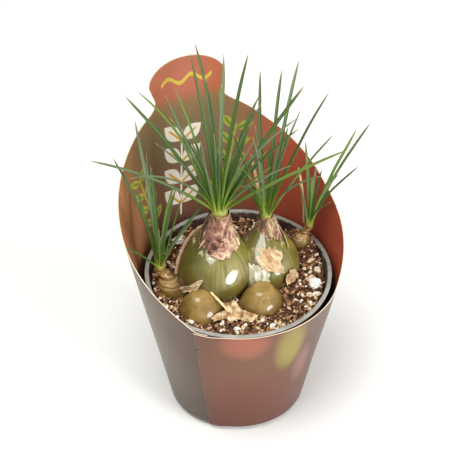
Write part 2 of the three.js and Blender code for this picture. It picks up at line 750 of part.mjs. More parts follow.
// The outward direction from the bulb's upper skin, which overhangs where the neck leans.
function shoulderNormal(bulb, angle, radius) {
  const step = 0.2;
  const inward = shoulderPoint(bulb, angle, radius - step).sub(shoulderPoint(bulb, angle, radius + step));
  const along = shoulderPoint(bulb, angle + 2, radius).sub(shoulderPoint(bulb, angle - 2, radius));
  return along.cross(inward).normalize().negate();
}

// A point of the bulb's upper skin at a distance from the neck's axis.
function shoulderPoint(bulb, angle, radius) {
  const upper = [...BULB_OUTLINE.slice(3), [bulb.neck / bulb.radius, bulb.top / bulb.radius]];
  const out = radius / bulb.radius;
  for (let step = 0; step + 1 < upper.length; step += 1) {
    const [outA, upA] = upper[step];
    const [outB, upB] = upper[step + 1];
    if (out <= outA && out >= outB) {
      const up = lerp(upA, upB, (outA - out) / (outA - outB));
      return bulbPoint(bulb, degToRad(angle), [out, up], 0.3);
    }
  }
  return bulbPoint(bulb, degToRad(angle), [out, upper[0][1]], 0.3);
}

// The torn, pointed scrap in front of the bulbs, tilted against them.
function makeStar() {
  const outline = STAR.outline.map(([turn, reach]) => (
    new THREE.Vector2(reach * Math.cos(degToRad(turn)), reach * Math.sin(degToRad(turn)))
  ));
  const plate = new THREE.ExtrudeGeometry(new THREE.Shape(outline), {
    depth: STAR.thickness, bevelEnabled: false,
  });
  plate.rotateX(degToRad(STAR.tilt)).rotateZ(degToRad(-24)).translate(...STAR.centre);
  return toSolid(plate);
}

function makeStraw() {
  const path = STRAW.map((point) => new THREE.Vector3(...point));
  return tubeSolid(path, [0.5, 0.65, 0.65, 0.45], 5);
}

function grain({ x, y, size }, grow = 0) {
  const shape = new THREE.IcosahedronGeometry(1, 1);
  const radius = size + grow;
  const z = soilTop(x, y) + size * 0.35;
  return toSolid(shape.scale(radius, radius * 0.85, radius * 0.8).rotateZ(x).translate(x, y, z));
}

// ----------------------------------------------------------------------- soil

// Height of the soil's surface: banked at the wall, heaped at the right, and lumpy.
function soilTop(x, y) {
  const away = Math.hypot(x - SOIL_HEAP.x, y - SOIL_HEAP.y) / SOIL_HEAP.spread;
  const heap = SOIL_HEAP.height * Math.exp(-away * away);
  const bank = SOIL_BANK.height * smoothstep(Math.hypot(x, y), SOIL_BANK.from, SOIL_BANK.to);
  const lumps = 0.5 * Math.sin(0.55 * x + 1) * Math.cos(0.48 * y) + 0.35 * Math.sin(1.1 * x - 0.9 * y);
  return SOIL_LEVEL + Math.max(heap, bank) + lumps;
}

function soilBlock() {
  const radii = [12, 20, 26, 31, 36, 39];
  const base = POT_FLOOR + GAP;
  const ring = (radius, height) => Array.from({ length: POT_SEGMENTS }, (unused, side) => {
    const point = around((-360 * side) / POT_SEGMENTS, radius, 0);
    return point.setZ(height(point.x, point.y));
  });
  const wall = (z) => ring(potWallInside(z) - GAP, () => z);
  const topRings = radii.map((radius) => ring(radius, soilTop)).reverse();
  const crest = new THREE.Vector3(0, 0, soilTop(0, 0));
  const rings = [wall(base), wall(SOIL_LEVEL - 2), ...topRings];
  return toSolid(ringedGeometry(rings, new THREE.Vector3(0, 0, base), crest));
}

// ------------------------------------------------------------------- assembly

addMesh('pot', makePot(), 'pot');
addMesh('sleeve', makeSleeve(), 'sleeve');

// Bulbs grow in this order, and each is pressed flat against those before it.
const bulbNames = Object.keys(BULBS);
const hollows = bulbNames.map((name) => bulbSolid(name, GAP));
const bulbSolids = bulbNames.map((name, index) => (
  biggestBody(cut(bulbSolid(name), hollows.slice(0, index)))
));
bulbSolids.forEach((solid, index) => {
  addMesh(bulbNames[index], toGeometry(solid), index < 2 ? 'bulb' : 'bulblet');
});

const grains = PERLITE.map((place) => grain(place));
const sockets = PERLITE.map((place) => grain(place, GAP));
addMesh('soil', toGeometry(biggestBody(cut(soilBlock(), [...hollows, ...sockets]))), 'soil');
grains.forEach((solid, index) => addMesh(`perlite_${index + 1}`, toGeometry(solid), 'perlite'));

// Dead leaves stand just outside the foot of their tuft.
const grownLeaves = [];
for (const [name, { tuft: tuftName, leaf }] of Object.entries(DRY_LEAVES)) {
  const tuft = TUFTS[tuftName];
  const bulb = BULBS[tuft.bulb];
  const side = heading(leaf[0], 0).multiplyScalar(bulb.neck * FOOT_SHARE + GAP + leaf[4] * 0.3);
  const foot = neckTop(bulb).add(side).add(new THREE.Vector3(0, 0, tuft.height * 0.6));
  const settled = { path: leafPath(foot, leaf), halfWidth: leaf[4] };
  grownLeaves.push(settled);
  addMesh(name, toGeometry(bladeSolid(settled)), 'dry');
}
for (const [name, tuft] of Object.entries(TUFTS)) {
  const leaves = growTuft(tuft, [...grownLeaves]);
  grownLeaves.push(...leaves);
  const whole = join([tuftFoot(tuft), ...leaves.map(bladeSolid)]);
  addMesh(name, toGeometry(biggestBody(whole)), 'leaf');
}

// Papery pieces are cut clear of the bulbs, the soil's grains and each other.
const laid = [];
function layPapery(name, solid, finishName) {
  const clear = biggestBody(cut(solid, [...hollows, ...laid]));
  laid.push(clear);
  addMesh(name, toGeometry(clear), finishName);
}
for (const [name, collar] of Object.entries(COLLARS)) layPapery(name, makeCollar(collar), 'neck');
for (const [name, flake] of Object.entries(FLAKES)) {
  layPapery(name, makeFlake(flake), name === 'tunic_flake_silver' ? 'silver' : 'tunic');
}
for (const [name, edge] of Object.entries(EDGES)) layPapery(name, makeEdge(edge), 'tunic');
layPapery('tunic_star', makeStar(), 'tunic');
layPapery('straw', makeStraw(), 'dry');

export default group;
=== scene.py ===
"""The looks of a potted albuca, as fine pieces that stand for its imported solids.

Lengths are in millimetres until a mesh is made. +Z is up, the origin is the middle of the pot's
underside, and the label stands at the back. Angles round the pot, and the directions that leaves
lean in, are in degrees from +Y towards +X. The driving numbers are those of the solids.
"""

import math

import bmesh
import bpy
import numpy as np
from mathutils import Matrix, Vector, noise

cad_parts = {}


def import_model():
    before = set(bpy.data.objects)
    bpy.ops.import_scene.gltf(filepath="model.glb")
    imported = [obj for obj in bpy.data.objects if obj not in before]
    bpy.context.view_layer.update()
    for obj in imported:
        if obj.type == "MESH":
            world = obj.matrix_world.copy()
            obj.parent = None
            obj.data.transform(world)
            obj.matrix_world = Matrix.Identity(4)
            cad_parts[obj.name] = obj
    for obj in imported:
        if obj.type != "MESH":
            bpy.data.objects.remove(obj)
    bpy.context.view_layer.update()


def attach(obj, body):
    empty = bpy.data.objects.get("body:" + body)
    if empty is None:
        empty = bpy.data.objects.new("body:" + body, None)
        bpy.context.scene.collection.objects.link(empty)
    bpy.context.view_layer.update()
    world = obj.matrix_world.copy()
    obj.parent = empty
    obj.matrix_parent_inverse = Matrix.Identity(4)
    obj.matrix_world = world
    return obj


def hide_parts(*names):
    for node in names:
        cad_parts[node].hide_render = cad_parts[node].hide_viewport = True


MM = 0.001

# ---------------- driving numbers

GAP = 0.35
WALL_SLOPE = math.tan(math.radians(11))

TOP = 77
POT_WALL = 0.9
POT_FLOOR = 1.4
POT_LIP_RADIUS = 42.6
POT_LIP_DEPTH = 3
POT_LIP_OVERHANG = 1.1
DRAIN_COUNT = 8
DRAIN_RADIUS = 3
DRAIN_CIRCLE = 18

SLEEVE_RIM_RADIUS = 43.5
SLEEVE_THICKNESS = 0.5
SLEEVE_FOOT = 3
SEAM_ANGLE = 231
SEAM_LAP = 8
SEAM_NOTCH = {"middle": -12, "half": 2.5, "depth": 2.4}
LABEL_FOOT_ANGLE = 130
HEAD_HEIGHT = 80
HEAD_ANGLE = 18.4
HEAD_CENTRE = 70
# The sleeve is nearest the pot at this angle and opposite it, and bulges out between.
TOUCH_ANGLE = 205
BULGE_LEFT = 3.1
BULGE_RIGHT = 2.4

SOIL_LEVEL = 71
SOIL_HEAP = {"x": 35, "y": 5, "height": 10, "spread": 11}
SOIL_BANK = {"from": 32, "to": 39, "height": 2.4}
SOIL_EDGE = 39.1

# Top is how high the neck ends above the bulb's centre, and lean how far it is pushed aside.
BULBS = {
    "bulb_main": dict(centre=(-9.3, 5.8, 78), radius=18.4, lean=(5.3, 6.2), neck=4.6, top=23.5),
    "bulb_offset": dict(centre=(14.2, 1.2, 76), radius=15.6, lean=(3.3, 7.3), neck=3.2, top=19),
    "bulblet_left": dict(centre=(-28.5, 8, 70), radius=8, lean=(-5, 4), neck=2.7, top=10.5),
    "bulblet_front_left": dict(
        centre=(-23.4, -10.8, 71), radius=9.8, lean=(0, 1.5), neck=1.6, top=9.8,
    ),
    "bulblet_front_right": dict(
        centre=(3.3, -17.3, 69.8), radius=10, lean=(1, 1), neck=1.4, top=8.9,
    ),
    "bulblet_right": dict(centre=(33.5, 4, 79.5), radius=4.8, lean=(4.2, 0), neck=2.1, top=6.8),
}
ROOTS = {"bulb_main": 7, "bulb_offset": 5}

# Radius and height of a bulb's side, from its foot to its neck, in radii of the bulb.
BULB_OUTLINE = [
    (0.34, -0.93), (0.74, -0.68), (0.96, -0.25), (0.99, 0.06), (0.87, 0.38), (0.64, 0.66),
    (0.4, 0.91),
]

# A stated leaf is (direction, tilt at its foot, tilt at its tip, length, half-width).
TUFTS = {
    "leaves_main": dict(
        bulb="bulb_main", seed=11, count=28, length=(36, 78), height=7,
        stated=[
            (-60, 26, 38, 71, 1.2), (-84, 42, 62, 70, 1.05), (-15, 6, 20, 76, 1), (112, 54, 64, 62, 1.15),
            (84, 32, 44, 66, 1.1), (30, 8, 22, 72, 1), (58, 6, 26, 74, 1),
        ],
    ),
    "leaves_offset": dict(
        bulb="bulb_offset", seed=23, count=14, length=(34, 66), height=5,
        stated=[(45, 28, 44, 70, 1), (38, 16, 32, 66, 0.95), (74, 26, 42, 62, 0.95), (-110, 4, 14, 50, 0.9)],
    ),
    "leaves_left": dict(
        bulb="bulblet_left", seed=37, count=9, length=(30, 58), height=4,
        stated=[
            (-46, 6, 30, 60, 1.05), (4, 12, 34, 68, 0.95), (10, 4, 20, 50, 1.1), (-112, 34, 42, 38, 0.8),
            (78, 34, 58, 38, 0.8),
        ],
    ),
    "leaves_right": dict(
        bulb="bulblet_right", seed=41, count=10, length=(24, 50), height=4,
        stated=[(-20, 2, 10, 40, 0.9), (98, 18, 34, 58, 0.9), (72, 26, 42, 48, 0.85), (150, 8, 30, 42, 0.8)],
    ),
}

DRY_LEAVES = {
    "leaf_dry_offset": dict(tuft="leaves_offset", leaf=(-24, 4, 20, 30, 0.9)),
    "leaf_dry_right": dict(tuft="leaves_right", leaf=(-50, 2, 12, 32, 0.9)),
}

# The sheathed foot of a tuft has this share of the neck's radius.
FOOT_SHARE = 0.86
LEAF_STEPS = 7
GOLDEN_ANGLE = 137.5
OPEN_SIDE = 25
LEAF_ROOM = 0.4
TRIES = 30
TRY_TURN = 4

# Grain is the angle of the fibres from upright, curl how far the torn rim stands up, and shade
# runs from dark to light.
FLAKES = {
    "tunic_flake_cream": dict(
        bulb="bulb_offset", at=(-166, 37), size=(6.2, 4.8), slant=0.35, tear=0.24, points=7, seed=3,
        grain=42, curl=0.8, shade=0.55,
    ),
    "tunic_flake_silver": dict(
        bulb="bulb_offset", at=(-138, 7), size=(5.6, 6.4), slant=0, tear=0.2, points=5, seed=5,
        grain=8, curl=0.3, shade=0.45,
    ),
    "tunic_flake_tan": dict(
        bulb="bulb_main", at=(-122, 6), size=(5, 2), slant=-0.75, tear=0.3, points=5, seed=7,
        grain=127, curl=1.5, shade=0.75,
    ),
    "tunic_curl": dict(
        bulb="bulb_offset", at=(162, 1), size=(3.8, 3.2), slant=0, tear=0.34, points=6, seed=13,
        grain=-30, curl=1.6, shade=0.5,
    ),
}

EDGES = {
    "tunic_edge_left": dict(bulb="bulb_main", path=[(-8, 60), (-38, 46), (-62, 34), (-76, 20), (-86, 4)]),
    "tunic_edge_right": dict(bulb="bulb_offset", path=[(94, 70), (106, 62), (124, 53), (138, 42)]),
}

COLLARS = {
    "neck_tunic_main": dict(
        bulb="bulb_main", reach=5.6, front=2.4, rise=2.6, seed=17, knot=dict(at=(188, 64), size=(8.5, 5.2)),
    ),
    "neck_tunic_offset": dict(
        bulb="bulb_offset", reach=3.4, front=0.6, rise=1, seed=19, knot=dict(at=(150, 66), size=(2, 2)),
    ),
}
LYING_SCALES = 30
STANDING_SCALES = 14
# Direction towards the key light; the collar's scales are painted lighter on this side and darker opposite:
# painted light and shade.
LIT_SIDE = 130

# Millimetres of a paper's surface to one unit of its look.
PAPER_SCALE = 4

# The lowest height, in radii over the centre, of the torn line where a bulb's older scale ends.
TORN_HEIGHT = 0.52

# Each arm of the star, and each hollow between two arms: its turn and its reach.
STAR = dict(
    centre=(-12, -21, 74.3), tilt=34, swing=-24,
    outline=[
        (-10, 11.2), (18, 3.4), (90, 6), (109, 3.4), (124, 5.4), (165, 3.6), (196, 11.6), (207, 9.6),
        (222, 4.4), (258, 5.4), (292, 3.4), (328, 9.6),
    ],
)
# The middle line of the straw.
STRAW = [(-18.4, -10.6, 79.9), (-17, -13.9, 78.4), (-15.6, -17.6, 77), (-14.8, -22, 76.4)]

# The place and the radius of each large grain.
PERLITE = [
    (29.6, -19.4, 3.4), (34.8, -11, 1.7), (1, -34, 1.8), (-15.4, 32.8, 2.8), (-14, -29.5, 2),
]

BLADE_SEED = 5
CRUMB_SEED = 71

# Steps round each kind of round piece.
SIDES = dict(
    pot=144, drain=28, bulb=112, root=12, foot=48, mantle=180, knot=108, flake=132, straw=14,
    soil=216,
)
# Columns of the sleeve's grid before the label, across it and after it.
SLEEVE_COLUMNS = 5, 175, 70
SCALE_THICKNESS = 0.13

# The stage is in metres.
CAMERA = dict(lens=118.4, place=(-0.20843, -0.44187, 0.53830), target=(-0.0057, 0.0020, 0.1049))
SOFTBOXES = {
    "key": dict(place=(0.52, -0.95, 0.47), size=0.56, power=12),
    "top": dict(place=(-0.35, -0.1, 1.3), size=0.9, power=15),
}
SOFTBOX_TARGET = (0, 0, 0.09)
SKY_COLOUR = (1, 0.99, 0.97, 1)
SKY_STRENGTH = 0.52
FLOOR_HALF = 2

# ---------------- small helpers


def lerp(low, high, share):
    return low + (high - low) * share


def smoothstep(value, low, high):
    share = np.clip((value - low) / (high - low), 0, 1)
    return share * share * (3 - 2 * share)


def around(angle, radius, z):
    """A point at a compass angle and radius from the pot's axis."""
    turn = math.radians(angle)
    return np.array([radius * math.sin(turn), radius * math.cos(turn), z])


def heading(direction, elevation):
    """Unit vector for a direction round the axis and an elevation above level."""
    level = math.radians(elevation)
    return around(direction, math.cos(level), math.sin(level))


def turns(sides):
    """Angles of even steps round a circle, in radians."""
    return 2 * np.pi * np.arange(sides) / sides


def column(low, high, count):
    """Even steps from low to high, one to each row of a grid."""
    return np.linspace(low, high, count)[:, None]


def joined(*parts):
    """Vectors from their parts, which are stretched to one common grid."""
    return np.stack(np.broadcast_arrays(*parts), axis=-1)


def points_round(out, turn, z, centre=(0, 0)):
    """Points so far out from an upright axis at each turn, in radians."""
    return joined(centre[0] + out * np.sin(turn), centre[1] + out * np.cos(turn), z)


def rotated(x, y, turn):
    """The two parts of a place, turned by an angle in radians."""
    return x * np.cos(turn) - y * np.sin(turn), x * np.sin(turn) + y * np.cos(turn)


def with_ends(rings, bottom, top):
    """A grid of vectors as one list, with those of its two end points last."""
    return np.vstack([rings.reshape(-1, 3), bottom, top])


def seeded_random(seed):
    """The generator of the solids (mulberry32), so that both draw the same leaves."""
    whole = 0xFFFFFFFF
    state = seed & whole

    def draw():
        nonlocal state
        state = (state + 0x6D2B79F5) & whole
        mixed = ((state ^ (state >> 15)) * (state | 1)) & whole
        mixed ^= (mixed + (((mixed ^ (mixed >> 7)) * (mixed | 61)) & whole)) & whole
        return (mixed ^ (mixed >> 14)) / (whole + 1)

    return draw


def unit(vectors):
    length = np.linalg.norm(vectors, axis=-1, keepdims=True)
    return vectors / np.maximum(length, 1e-9)


def smooth_path(points, steps):
    """A Catmull-Rom curve through the points, with so many steps to each stretch."""
    points = np.asarray(points, float)
    ends = np.vstack([2 * points[0] - points[1], points, 2 * points[-1] - points[-2]])
    share = (np.arange(steps) / steps)[:, None]
    curve = []
    for before, start, end, after in zip(ends, ends[1:], ends[2:], ends[3:]):
        curve.append(0.5 * (
            2 * start + (end - before) * share
            + (2 * before - 5 * start + 4 * end - after) * share ** 2
            + (3 * start - before - 3 * end + after) * share ** 3
        ))
    return np.vstack([*curve, points[-1:]])


def rough(points, scale, seed):
    """Smooth noise from -1 to 1 at each point, with features of about scale."""
    flat = np.asarray(points, float).reshape(-1, 3) / scale + seed
    values = np.array([noise.noise(Vector(point)) for point in flat])
    return values.reshape(np.asarray(points).shape[:-1])


# ---------------- mesh making


def grid_faces(rows, columns, closed=False):
    """Quads of a grid of points; a closed grid joins its last column to its first."""
    index = np.arange(rows * columns).reshape(rows, columns)
    if closed:
        index = np.hstack([index, index[:, :1]])
    return joined(index[:-1, :-1], index[:-1, 1:], index[1:, 1:], index[1:, :-1]).reshape(-1, 4).tolist()


def rim_faces(faces, count):
    """Walls from a sheet's front to its back, which has the same points count later."""
    directed = {(face[i - 1], face[i]) for face in faces for i in range(len(face))}
    return [
        [b, a, count + a, count + b] for a, b in sorted(directed) if (b, a) not in directed
    ]


def sheet(front, back, faces):
    """A thin sheet as one closed body, with the kind of each face: front, back or rim."""
    count = len(front)
    behind = [[count + i for i in reversed(face)] for face in faces]
    rim = rim_faces(faces, count)
    kinds = [0] * len(faces) + [1] * len(behind) + [2] * len(rim)
    return np.vstack([front, back]), faces + behind + rim, kinds


def capped(rings, bottom, top):
    """Points and faces of closed rings, with fans that join them to two end points."""
    count, sides = rings.shape[:2]
    low = count * sides
    last = low - sides
    faces = grid_faces(count, sides, closed=True)
    for side in range(sides):
        after = (side + 1) % sides
        faces.append([low, after, side])
        faces.append([last + side, last + after, low + 1])
    return with_ends(rings, bottom, top), faces


def read_out(made):
    """Points and faces of a bmesh, which is freed."""
    made.verts.index_update()
    points = np.array([vertex.co for vertex in made.verts])
    faces = [[vertex.index for vertex in face.verts] for face in made.faces]
    made.free()
    return points, faces


def link(name, data):
    """A new object in the scene."""
    made = bpy.data.objects.new(name, data)
    bpy.context.scene.collection.objects.link(made)
    return made


class Body:
    """The points, faces, looks and face kinds of a piece, gathered from several parts."""

    def __init__(self):
        self.points, self.faces, self.looks, self.kinds = [], [], [], []
        self.count = 0

    def add(self, points, faces, look=(0, 0, 0), kinds=0):
        points = np.asarray(points, float).reshape(-1, 3)
        looks = np.broadcast_to(np.asarray(look, float), (len(points), 3))
        self.faces += [[i + self.count for i in face] for face in faces]
        self.kinds += [kinds] * len(faces) if isinstance(kinds, int) else list(kinds)
        self.points.append(points)
        self.looks.append(looks)
        self.count += len(points)
        return self

    def piece(self, name, paints, slot, replaces=(), flat=False):
        """Makes the Blender object, which rides on the pot's body and stands for its solids."""
        mesh = bpy.data.meshes.new(name)
        mesh.from_pydata((np.vstack(self.points) * MM).tolist(), [], self.faces)
        looks = np.vstack(self.looks).astype(np.float32)
        mesh.attributes.new("look", "FLOAT_VECTOR", "POINT").data.foreach_set("vector", looks.ravel())
        for paint in paints:
            mesh.materials.append(paint.material)
        mesh.polygons.foreach_set("material_index", np.minimum(self.kinds, len(paints) - 1))
        mesh.polygons.foreach_set("use_smooth", [not flat] * len(self.faces))
        mesh.update()
        whole = bmesh.new()
        whole.from_mesh(mesh)
        bmesh.ops.recalc_face_normals(whole, faces=whole.faces)
        whole.to_mesh(mesh)
        whole.free()
        made = link(name, mesh)
        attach(made, "root")
        if replaces:
            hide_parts(*replaces)
        return made


# ---------------- shader writing


def tone(code):
    """Linear colour of an sRGB code such as 8a6f42."""
    parts = [int(code[i:i + 2], 16) / 255 for i in (0, 2, 4)]
    linear = [c / 12.92 if c <= 0.04045 else ((c + 0.055) / 1.055) ** 2.4 for c in parts]
    return (*linear, 1)


class Field:
    """A number that shader nodes work out over the surface, with arithmetic."""

    def __init__(self, tree, socket):
        self.tree, self.socket = tree, socket

    def math(self, operation, *others):
        node = self.tree.nodes.new("ShaderNodeMath")
        node.operation = operation
        for place, value in zip(node.inputs, (self, *others)):
            connect(self.tree, value, place)
        return Field(self.tree, node.outputs[0])

    def __add__(self, other):
        return self.math("ADD", other)

    def __sub__(self, other):
        return self.math("SUBTRACT", other)

    def __mul__(self, other):
        return self.math("MULTIPLY", other)

    def __truediv__(self, other):
        return self.math("DIVIDE", other)

    def __abs__(self):
        return self.math("ABSOLUTE")

    def rise(self, low, high):
        """Goes smoothly from 0 at low to 1 at high; low may be the larger."""
        node = self.tree.nodes.new("ShaderNodeMapRange")
        node.interpolation_type = "SMOOTHSTEP"
        backwards = low > high
        ends = (high, low, 1, 0) if backwards else (low, high, 0, 1)
        connect(self.tree, self, node.inputs["Value"])
        for name, value in zip(("From Min", "From Max", "To Min", "To Max"), ends):
            node.inputs[name].default_value = value
        return Field(self.tree, node.outputs["Result"])


def connect(tree, value, place):
    if isinstance(value, Field):
        tree.links.new(value.socket, place)
    else:
        place.default_value = value


class Paint:
    """A procedural material; keywords set constants on its Principled shader."""

    def __init__(self, name, **constants):
        self.material = bpy.data.materials.new(name)
        self.material.use_nodes = True
        self.tree = self.material.node_tree
        self.shader = self.tree.nodes["Principled BSDF"]
        for socket, value in constants.items():
            self.shader.inputs[socket.replace("_", " ")].default_value = value

    def _node(self, kind, **settings):
        node = self.tree.nodes.new(kind)
        for setting, value in settings.items():
            setattr(node, setting, value)
        return node

    def look(self):
        """The three numbers that the mesh carries at each point."""
        read = self._node("ShaderNodeAttribute", attribute_name="look")
        split = self._node("ShaderNodeSeparateXYZ")
        self.tree.links.new(read.outputs["Vector"], split.inputs[0])
        return [Field(self.tree, output) for output in split.outputs]

    def vector(self, x, y, z):
        node = self._node("ShaderNodeCombineXYZ")
        for place, value in zip(node.inputs, (x, y, z)):
            connect(self.tree, value, place)
        return Field(self.tree, node.outputs[0])

    def place(self):
        node = self._node("ShaderNodeTexCoord")
        return Field(self.tree, node.outputs["Object"])

    def spot(self):
        """The place on the piece as three numbers, in millimetres."""
        split = self._node("ShaderNodeSeparateXYZ")
        self.tree.links.new(self.place().socket, split.inputs[0])
        return [Field(self.tree, output) / MM for output in split.outputs]

    def _texture(self, kind, output, place, **inputs):
        node = self._node(kind)
        for name, value in {"Vector": place, **inputs}.items():
            connect(self.tree, value, node.inputs[name])
        return Field(self.tree, node.outputs[output])

    def noise(self, size, detail):
        """Noise from 0 to 1, with features of that size in millimetres."""
        return self._texture("ShaderNodeTexNoise", "Fac", self.place(), Scale=1 / (size * MM), Detail=detail)

    def noise_at(self, detail, x, y, z):
        """Noise from 0 to 1 at a place made of fields or numbers."""
        return self._texture("ShaderNodeTexNoise", "Fac", self.vector(x, y, z), Scale=1, Detail=detail)

    def cells(self, size):
        """Distance from the middles of cells of that size in millimetres."""
        return self._texture("ShaderNodeTexVoronoi", "Distance", self.place(), Scale=1 / (size * MM))

    def ramp(self, field, stops):
        """A colour from stops of (place, colour code)."""
        node = self._node("ShaderNodeValToRGB")
        connect(self.tree, field, node.inputs["Fac"])
        for _ in stops[2:]:
            node.color_ramp.elements.new(0.5)
        for element, (place, code) in zip(node.color_ramp.elements, stops):
            element.position = place
            element.color = tone(code)
        return Field(self.tree, node.outputs["Color"])

    def mix(self, share, low, high):
        """A colour between low and high, each a field or a colour code."""
        node = self._node("ShaderNodeMix", data_type="RGBA")
        connect(self.tree, share, node.inputs[0])
        for place, value in zip((node.inputs[6], node.inputs[7]), (low, high)):
            connect(self.tree, value if isinstance(value, Field) else tone(value), place)
        return Field(self.tree, node.outputs[2])

    def over(self, colour, *layers):
        """The colour under layers of (share, colour), each mixed in over those before it."""
        for share, layer in layers:
            colour = self.mix(share, colour, layer)
        return colour

    def bump(self, height, depth):
        """Relief of that depth in millimetres."""
        node = self._node("ShaderNodeBump")
        connect(self.tree, height, node.inputs["Height"])
        node.inputs["Distance"].default_value = depth * MM
        self.tree.links.new(node.outputs[0], self.shader.inputs["Normal"])

    def wear(self, **fields):
        """Joins fields to the shader's sockets."""
        for socket, field in fields.items():
            self.tree.links.new(field.socket, self.shader.inputs[socket.replace("_", " ")])
        return self


# ---------------- paints


def blob(x, y, centre, spread):
    """1 in the middle of a soft oval and 0 outside it."""
    across = (x - centre[0]) / spread[0]
    along = (y - centre[1]) / spread[1]
    return (across * across + along * along).rise(1, 0)


def sprig(x, y, foot, lean, leaf, pitch, pairs):
    """Masks of a plain sprig of paired leaves, and of their ribs; leaf is (length, half-width)."""
    length, half_width = leaf
    turn, slope = math.radians(lean), math.radians(42)
    along = (x - foot[0]) * math.sin(turn) + (y - foot[1]) * math.cos(turn)
    aside = abs((x - foot[0]) * math.cos(turn) - (y - foot[1]) * math.sin(turn))
    step = along.math("WRAP", pitch, 0.0) - 2.2
    out = aside * math.cos(slope) + step * math.sin(slope)
    across = abs(step * math.cos(slope) - aside * math.sin(slope))
    width = (out * (math.pi / length)).math("SINE") * half_width
    inside = (width - across).rise(0, 0.5) * out.rise(0, 0.3) * out.rise(length, length - 0.3)
    top = pitch * pairs
    span = along.rise(-0.1, 0.1) * along.rise(top, top - 0.2)
    rib = across.rise(0.75, 0.35) * out.rise(length * 0.8, length * 0.6)
    stem = aside.rise(0.6, 0.3) * along.rise(-4, -3) * along.rise(top - 2, top - 4)
    return (inside * span).math("MAXIMUM", stem), inside * span * rib


def card_outside():
    paint = Paint("card_outside", Specular_IOR_Level=0.25, Coat_Weight=0.08, Coat_Roughness=0.2)
    angle, height, _ = paint.look()
    mottle = paint.noise(14, 2)
    whole = 360 + SEAM_LAP
    turned = (angle + (whole - SEAM_ANGLE)) / whole + (mottle - 0.5) * 0.03
    base = paint.ramp(turned, [
        (0.0, "5c4438"), (0.07, "5f4b3c"), (0.16, "6a6247"), (0.3, "4f3d2e"), (0.5, "673e2c"),
        (0.66, "432d23"), (0.75, "4c3326"), (0.83, "63402f"), (0.9, "6d422d"), (1.0, "6c4530"),
    ])
    sheen = (angle * 0.05 + height * 0.11).math("SINE").rise(-0.6, 1)
    # Painted shade: low darkens the sleeve towards the bottom, as in a tray's shadow, reddish to the right
    # and brown to the left.
    low = height.rise(-22, -74) * 0.85
    base = paint.over(
        base,
        (blob(angle, height, (201, -6), (19, 13)) * 0.85, "a05a46"),
        (blob(angle, height, (171, -13), (13, 21)) * 0.85, "918638"),
        (blob(angle, height, (157, -34), (9, 17)) * 0.6, "8f675c"),
        (blob(angle, height, (214, -34), (24, 22)) * 0.5, "73402f"),
        (sheen * 0.16, "6e5c48"),
        (low * angle.rise(-100, 40), "5c2b1d"),
        (low * angle.rise(40, -100), "463726"),
        (height.rise(30, 75), "91583f"),
    )
    paint.bump(paint.noise(1.6, 2), 0.02)
    return paint.wear(Base_Color=base, Roughness=mottle * 0.12 + 0.3)


def card_inside():
    paint = Paint("card_inside", Specular_IOR_Level=0.3, Coat_Weight=0.1, Coat_Roughness=0.2)
    angle, height, _ = paint.look()
    mottle = paint.noise(12, 3)
    x = angle * (height * WALL_SLOPE + SLEEVE_RIM_RADIUS) * math.radians(1)
    base = paint.ramp(height / HEAD_HEIGHT + (mottle - 0.5) * 0.1, [
        (0.0, "6b4936"), (0.25, "7d5b43"), (0.55, "776848"), (0.72, "836845"), (0.8, "a8603f"),
        (1.0, "9d5b40"),
    ])
    base = paint.over(
        base,
        (angle.rise(14, 54) * 0.92, "b2523a"),
        (angle.rise(-24, -58) * 0.8, "b5794f"),
        (blob(x, height, (-2, 68), (14, 10)) * 0.2, "b8646a"),
        (height.rise(4, -14), "3f2a20"),
    )
    sprigs = [
        # foot, lean, leaf, pitch, pairs of leaves, and the colours of the leaves and their ribs
        ((12, 6), 14, (11, 2.3), 8.5, 5, "98993b", "5f7a2a"),
        ((-24, 4), -14, (9, 2.2), 8, 4, "b3a94a", "7b8a35"),
        ((-9, 6), 7, (12.5, 3.7), 10.5, 4, "e6dfcf", "c99a2c"),
    ]
    for *shape, leaf_colour, rib_colour in sprigs:
        leaves, ribs = sprig(x, height, *shape)
        base = paint.over(base, (leaves, leaf_colour), (ribs, rib_colour))
    wave = abs((x * 0.55).math("SINE") * 1.6 - (height - 69.5))
    base = paint.mix(wave.rise(1.25, 0.6) * abs(x).rise(12.5, 12), base, "bfa83a")
    paint.bump(paint.noise(1.6, 2), 0.02)
    return paint.wear(Base_Color=base, Roughness=mottle * 0.15 + 0.32)


def card_edge():
    paint = Paint("card_edge", Roughness=0.7)
    fibres = paint.noise(0.8, 4)
    return paint.wear(Base_Color=paint.ramp(fibres, [(0.3, "c9b79c"), (0.7, "e4d8c2")]))


def pot_plastic():
    paint = Paint("pot_plastic", Specular_IOR_Level=0.5)
    x, y, z = paint.spot()
    radius = (x * x + y * y).math("SQRT")
    grain = paint.noise(5, 4)
    smears = paint.noise(2.5, 5)
    inside = (radius - (z - TOP) * WALL_SLOPE).rise(41, 40.8)
    # Soil dirt and painted shade: the inner wall is dark below the rim.
    dirt_and_shade = inside * (z + smears * 3.5).rise(78.6, 77.6)
    colour = paint.over(
        paint.ramp(grain, [(0.3, "86847d"), (0.7, "a3a19a")]),
        (dirt_and_shade, paint.ramp(smears, [(0.35, "2b1d15"), (0.65, "5a4030")])),
        (smears.rise(0.6, 0.75) * 0.35, "6a5341"),
    )
    paint.bump(paint.noise(0.5, 3), 0.03)
    return paint.wear(Base_Color=colour, Roughness=grain * 0.2 + dirt_and_shade * 0.4 + 0.3)


def soil_paint():
    paint = Paint("soil", Roughness=0.95, Specular_IOR_Level=0.2)
    # Mixed tones of the soil, painted darker where the bump sinks: painted shade in the crevices.
    grain = paint.noise(1.3, 6)
    colour = paint.ramp(grain, [(0.3, "21140e"), (0.48, "4a3022"), (0.62, "7a5237"), (0.78, "b08a60")])
    paint.bump(grain, 0.9)
    return paint.wear(Base_Color=colour)


